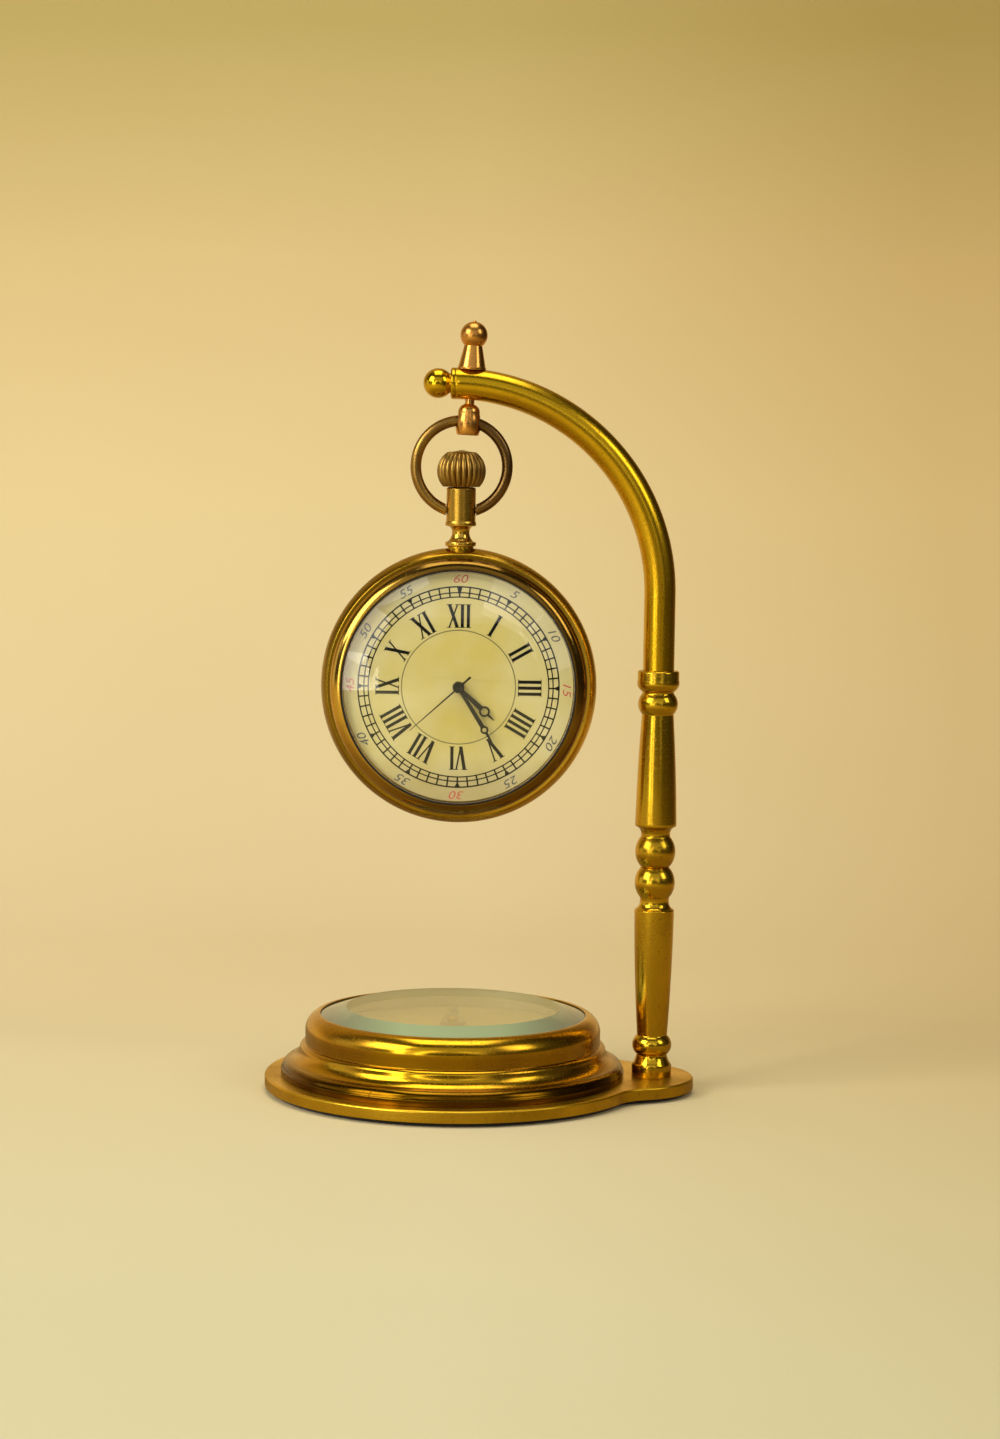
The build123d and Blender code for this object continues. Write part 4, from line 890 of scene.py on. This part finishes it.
dial_ink = printed("dial_ink", (0.003, 0.003, 0.002), (0.008, 0.007, 0.005), 0.4, 0.8, **on_watch)
nodes["Principled BSDF"].inputs["Specular IOR Level"].default_value = 0.1
track_in = 16.5
track = []
for inner, outer in ((18.25, 18.51), (17.20, 17.42), (16.40, 16.62)):
    track.append(dial_ring("track_ring", inner, outer, print_thick, 180))
rung = inked("rung", [stroke(0, 0, 0.28, 0.0, 1.9)])
track.append(copied("track_rungs", rung, [at_hour(6 * n, track_in) for n in range(60)]))
arrow = inked("arrow", [[(-0.5, 1.0), (0.0, 0.0), (0.5, 1.0)]])
track.append(copied("track_arrows", arrow, [at_hour(30 * n, 17.35) for n in range(1, 12)]))
wedge = inked("wedge", [[(-0.5, 1.85), (0.0, 0.0), (0.5, 1.85)]])
track.append(copied("track_wedge", wedge, [at_hour(0, track_in)]))
fit(joined("dial_track", track), dial_ink, "dial_paper", "watch")

letters = {
    "I": (1.10, [stroke(0, 0, 0.58), foot_serif(0, 1.0), top_serif(0, 1.0)]),
    "V": (2.10, [stroke(0.0, -0.72, 0.62), stroke(0.0, 0.80, 0.28), top_serif(-0.72, 1.1),
                 top_serif(0.80, 0.8)]),
    "X": (2.20, [stroke(0.75, -0.75, 0.62), stroke(-0.75, 0.75, 0.28), top_serif(-0.75, 1.05),
                 top_serif(0.75, 0.8), foot_serif(0.75, 1.05), foot_serif(-0.75, 0.8)]),
}
numerals = ("XII", "I", "II", "III", "IIII", "V", "VI", "VII", "VIII", "IX", "X", "XI")
hours = []
for letter, (advance, shapes) in letters.items():
    spots = []
    for hour, numeral in enumerate(numerals):
        x = -sum(letters[sign][0] for sign in numeral) / 2
        for sign in numeral:
            if sign == letter:
                spots.append(at_hour(30 * hour, 10.9, x + advance / 2))
            x += letters[sign][0]
    hours.append(copied("hour_" + letter, inked("letter_" + letter, shapes), spots))
fit(joined("dial_hours", hours), dial_ink, "dial_paper", "watch")

ring_olive = printed("ring_olive", (0.16, 0.15, 0.05), (0.24, 0.21, 0.08), 0.4, 0.6, **on_watch)
fit(dial_ring("dial_inner_ring", 10.35, 10.55, 0.02, 160), ring_olive, "dial_paper", "watch")

number_grey = printed("number_grey", (0.05, 0.055, 0.06), (0.10, 0.10, 0.10), 0.4, 0.6, **on_watch)
number_red = printed("number_red", (0.50, 0.07, 0.05), (0.60, 0.13, 0.10), 0.4, 0.6, **on_watch)
for name, finish, minutes in (("dial_minutes_red", number_red, (15, 30, 45, 60)),
                              ("dial_minutes_grey", number_grey, (5, 10, 20, 25, 35, 40, 50, 55))):
    numbers = []
    for minute in minutes:
        spot = at_hour(6 * minute, 19.75) @ turn_about("X", 90)
        numbers.append(word("minute_number", str(minute), spot, size=2.1, lean=0.25, stretch=1.3))
    fit(joined(name, numbers), finish, "dial_paper", "watch")

# Hands: thin steel, stamped and lacquered black. The hour and minute hands widen to an open ring near a
# fine tip; the seconds hand is a needle with a tail and a round boss.
sheet, lap, hub_wall, ring_wall = 0.2, 0.18, 0.16, 0.36
hand_black = metal("hand_lacquer", (0.003, 0.003, 0.003), (0.009, 0.008, 0.006), polish=0.40, spread=0.5,
                   **on_watch)
lacquer = nodes["Principled BSDF"]
lacquer.inputs["Metallic"].default_value = 0.0
lacquer.inputs["Specular IOR Level"].default_value = 0.15


def blade(low, low_width, high, high_width, edge):
    """A tapered strip of sheet that runs up a hand from low to high."""
    corners = ((-low_width / 2, low), (low_width / 2, low), (high_width / 2, high), (-high_width / 2, high))
    strip = flat_blank("blade", [Vector((x, 0, z)) * MM for x, z in corners], (0, -sheet * MM, 0))
    soften(strip, edge)
    return strip


def on_centre(hand, back, degrees):
    """Sets a joined hand on the middle of the watch, turned to its time; back is where its back face lies."""
    hand.matrix_world = Matrix.Translation(Vector((watch_x, back, watch_z)) * MM) @ turn_about("Y", degrees)
    bpy.ops.object.transform_apply(location=True, rotation=True, scale=True)
    return hand


def ring_hand(name, length, ring_at, ring, wide, bore, back, degrees):
    """A hand with a hub, a blade that widens to an open ring, and a fine tip."""
    hub = turned("hub", square_ring(bore, bore + hub_wall, 0, -sheet), axis=watch_axis, edge=0.03, steps=64)
    loop = turned("loop", square_ring(ring - ring_wall, ring, 0, -sheet), (0, 0, ring_at), watch_axis,
                  edge=0.03, steps=64)
    shaft = blade(bore + 0.06, 0.62, ring_at - ring + lap, wide, 0.03)
    tip = blade(ring_at + ring - lap, 0.55, length, 0.12, 0.03)
    return on_centre(joined(name, [hub, loop, shaft, tip]), back, degrees)


hour_hand = ring_hand("hour_hand_black", length=8.9, ring_at=6.5, ring=1.0, wide=1.0, bore=0.92, back=-4.0,
                      degrees=132.32)
fit(hour_hand, hand_black, "hand_black", "hour", "hour_hand")
minute_hand = ring_hand("minute_hand_black", length=12.5, ring_at=9.1, ring=0.75, wide=0.84, bore=0.66,
                        back=-4.55, degrees=147.8)
fit(minute_hand, hand_black, "hand_black", "minute", "minute_hand")
second_blade = blade(-3.0, 0.4, 11.8, 0.12, 0.02)
boss = turned("second_boss", [(0.26, 0.0), (0.95, 0.0), (0.95, -0.42), (0.7, -0.5, -0.05), (0.0, -0.5)],
              axis=watch_axis, edge=0.04, steps=48)
second_hand = on_centre(joined("second_hand_black", [boss, second_blade]), back=-5.1, degrees=228)
fit(second_hand, hand_black, "hand_black", "seconds", "second_hand")

# Bezel and crystal: a rounded copper-toned ring that snaps into the band, and a domed mineral glass
# pressed into it over a thin black gasket.
crystal_radius, gasket_radius, crystal_seat = 21.3, 21.65, -4.45
bezel = turned("bezel_copper", [
    (gasket_radius, -5.55), (23.7, -3.6, 0.45), (23.7, -2.8), (22.95, -2.8), (22.95, -1.6), (22.1, -1.6),
    (22.1, -3.65), (20.9, -3.65), (21.1, crystal_seat), (gasket_radius, crystal_seat),
    (gasket_radius, -5.55)], watch_centre, watch_axis, steps=192)
bezel_copper = metal("bezel_copper", (0.58, 0.34, 0.055), (0.40, 0.215, 0.022), polish=0.14, spread=0.55,
                     **on_watch)
# Painted shade: the bezel keeps its colour at the far left and is darkened from there towards the right.
stain(bezel_copper, "X", -20.0, -6.0, ((0.0, white), (1.0, (0.40, 0.37, 0.34))))
fit(bezel, bezel_copper, "bezel_copper", "watch", "bezel")
gasket = turned("crystal_gasket_ring", square_ring(crystal_radius, gasket_radius, -5.35, crystal_seat),
                watch_centre, watch_axis, edge=0.05, steps=160)
gasket_rubber = printed("gasket_rubber", (0.015, 0.014, 0.012), (0.035, 0.030, 0.024), 0.3, 0.7, **on_watch)
fit(gasket, gasket_rubber, "gasket", "watch", "crystal_gasket")
crystal = turned("crystal_dome", [
    (0.0, -6.75), (20.1, crystal_seat, 0.575), (crystal_radius, crystal_seat), (crystal_radius, -5.55),
    (0.0, -7.95, -0.6)], watch_centre, watch_axis, edge=0.08, steps=192)
fit(crystal, clear("watch_crystal", (0.97, 0.98, 0.96), 0.015), "crystal_glass", "watch", "crystal")

# Pendant: the turned neck soldered into the band's seat, with a flared foot, a waist, a lip and the tube
# that holds the ends of the bow.
pendant = turned("pendant_bronze", [
    (0.54, 0.0), (2.85, 0.0), (2.85, 0.75), (2.5, 0.75), (1.7, 3.1, -0.397), (2.85, 3.7, -0.208),
    (2.85, 4.35), (2.7, 4.5), (2.7, 10.55), (2.45, 10.8), (0.54, 10.8), (0.54, 0.0)],
    (watch_x, 0, 101.4086), steps=72)
pendant_bronze = metal("pendant_bronze", (0.60, 0.36, 0.05), (0.34, 0.18, 0.02), polish=0.22,
                       centre=(watch_x, 0, 0), spread=0.7)
fit(pendant, pendant_bronze, "case_bronze", "watch", "pendant_tube")

# Crown: a bronze knob with 24 rounded ribs, full at the middle, with a low cone on top. It is screwed
# on the end of the setting stem.
crown_base, crown_foot = Vector((watch_x, 0, 112.3086)), 3.4
rib_points, rib_depth = 8, 0.5 / 4.5
crown = round_blank("crown_bronze", 24 * rib_points, crown_foot, crown_base)
bpy.ops.object.mode_set(mode="OBJECT")
for step in range(rib_points):
    from_top = abs(step - rib_points / 2) / (rib_points / 2)
    if from_top:
        for edge in crown.data.edges:
            edge.select = False
        for vertex in crown.data.vertices:
            vertex.select = vertex.index % rib_points == step
        bpy.ops.object.mode_set(mode="EDIT")
        shrink = 1 - rib_depth * (1 - math.sqrt(1 - from_top ** 2 * 0.96)) / 0.8
        bpy.ops.transform.resize(value=(shrink, shrink, 1), center_override=crown_base * MM)
        bpy.ops.object.mode_set(mode="OBJECT")
bpy.ops.object.mode_set(mode="EDIT")
bpy.ops.mesh.select_all(action="SELECT")
foot, shoulder, peak = (crown_foot, 0.0), (2.6, 6.35), (0.3, 6.7)
side_line = [foot] + curve_to(foot, shoulder, 1.5) + curve_to(shoulder, peak, -0.06)
for start, end in zip(side_line, side_line[1:]):
    bpy.ops.mesh.extrude_region_move(TRANSFORM_OT_translate={"value": (0, 0, (end[1] - start[1]) * MM)})
    grow = end[0] / start[0]
    level = crown_base + Vector((0, 0, end[1]))
    bpy.ops.transform.resize(value=(grow, grow, 1), center_override=level * MM)
close_seam(caps=True)
soften(crown, 0.05)
crown_bronze = metal("crown_bronze", (0.42, 0.25, 0.05), (0.21, 0.11, 0.025), polish=0.26,
                     centre=(watch_x, 0, 0), spread=0.8)
fit(crown, crown_bronze, "case_bronze", "crown", "crown")

# Bow: a ring of 2 mm bronze wire, open at the foot, sprung into the pendant on two small pins. It hangs
# in the eye of the hanger.
bow_radius, wire_thick, half_gap, pin_z = 8.42, 2.0, 1.8, 108.0586
bow_middle = Vector((watch_x, 0, 115.9994))
bow_end = math.asin(half_gap / bow_radius)
bow_foot = bow_middle + Vector((math.sin(bow_end), 0, -math.cos(bow_end))) * bow_radius
bow = round_blank("bow_bronze", 40, wire_thick / 2, bow_foot, (0, math.pi / 2 - bow_end, 0))
bpy.ops.mesh.spin(steps=120, angle=2 * math.pi - 2 * bow_end, center=bow_middle * MM, axis=(0, 1, 0))
close_seam(caps=True)
bpy.ops.object.mode_set(mode="OBJECT")
gap_middle = bow_middle + Vector((0, 0, -bow_radius))
bpy.ops.mesh.primitive_cube_add(size=MM, location=gap_middle * MM, scale=(5.6, 4, 4))
cut_away(bow, bpy.context.object)
soften(bow, 0.08, 3)
bow_parts = [bow]
for side in (-1, 1):
    bow_parts.append(turned("bow_pin", [(0.0, 1.5), (0.6, 1.5), (0.6, 3.3), (0.0, 3.3)], (watch_x, 0, pin_z),
                            axis=(side, 0, 0), across=(0, 0, 1), edge=0.06, steps=32))
bow_bronze = metal("bow_bronze", (0.42, 0.24, 0.05), (0.15, 0.08, 0.02), polish=0.24, centre=bow_middle,
                   lie=watch_lie, spread=0.85)
# Painted shade: the bow is darkened and tinted from its middle towards its right side.
stain(bow_bronze, "X", -2.0, 6.0, ((0.0, white), (1.0, (0.46, 0.44, 0.60))))
fit(joined("bow_bronze", bow_parts), bow_bronze, "case_bronze", "bow", "bow")

# The box of the solid model.
low, high = cad_box
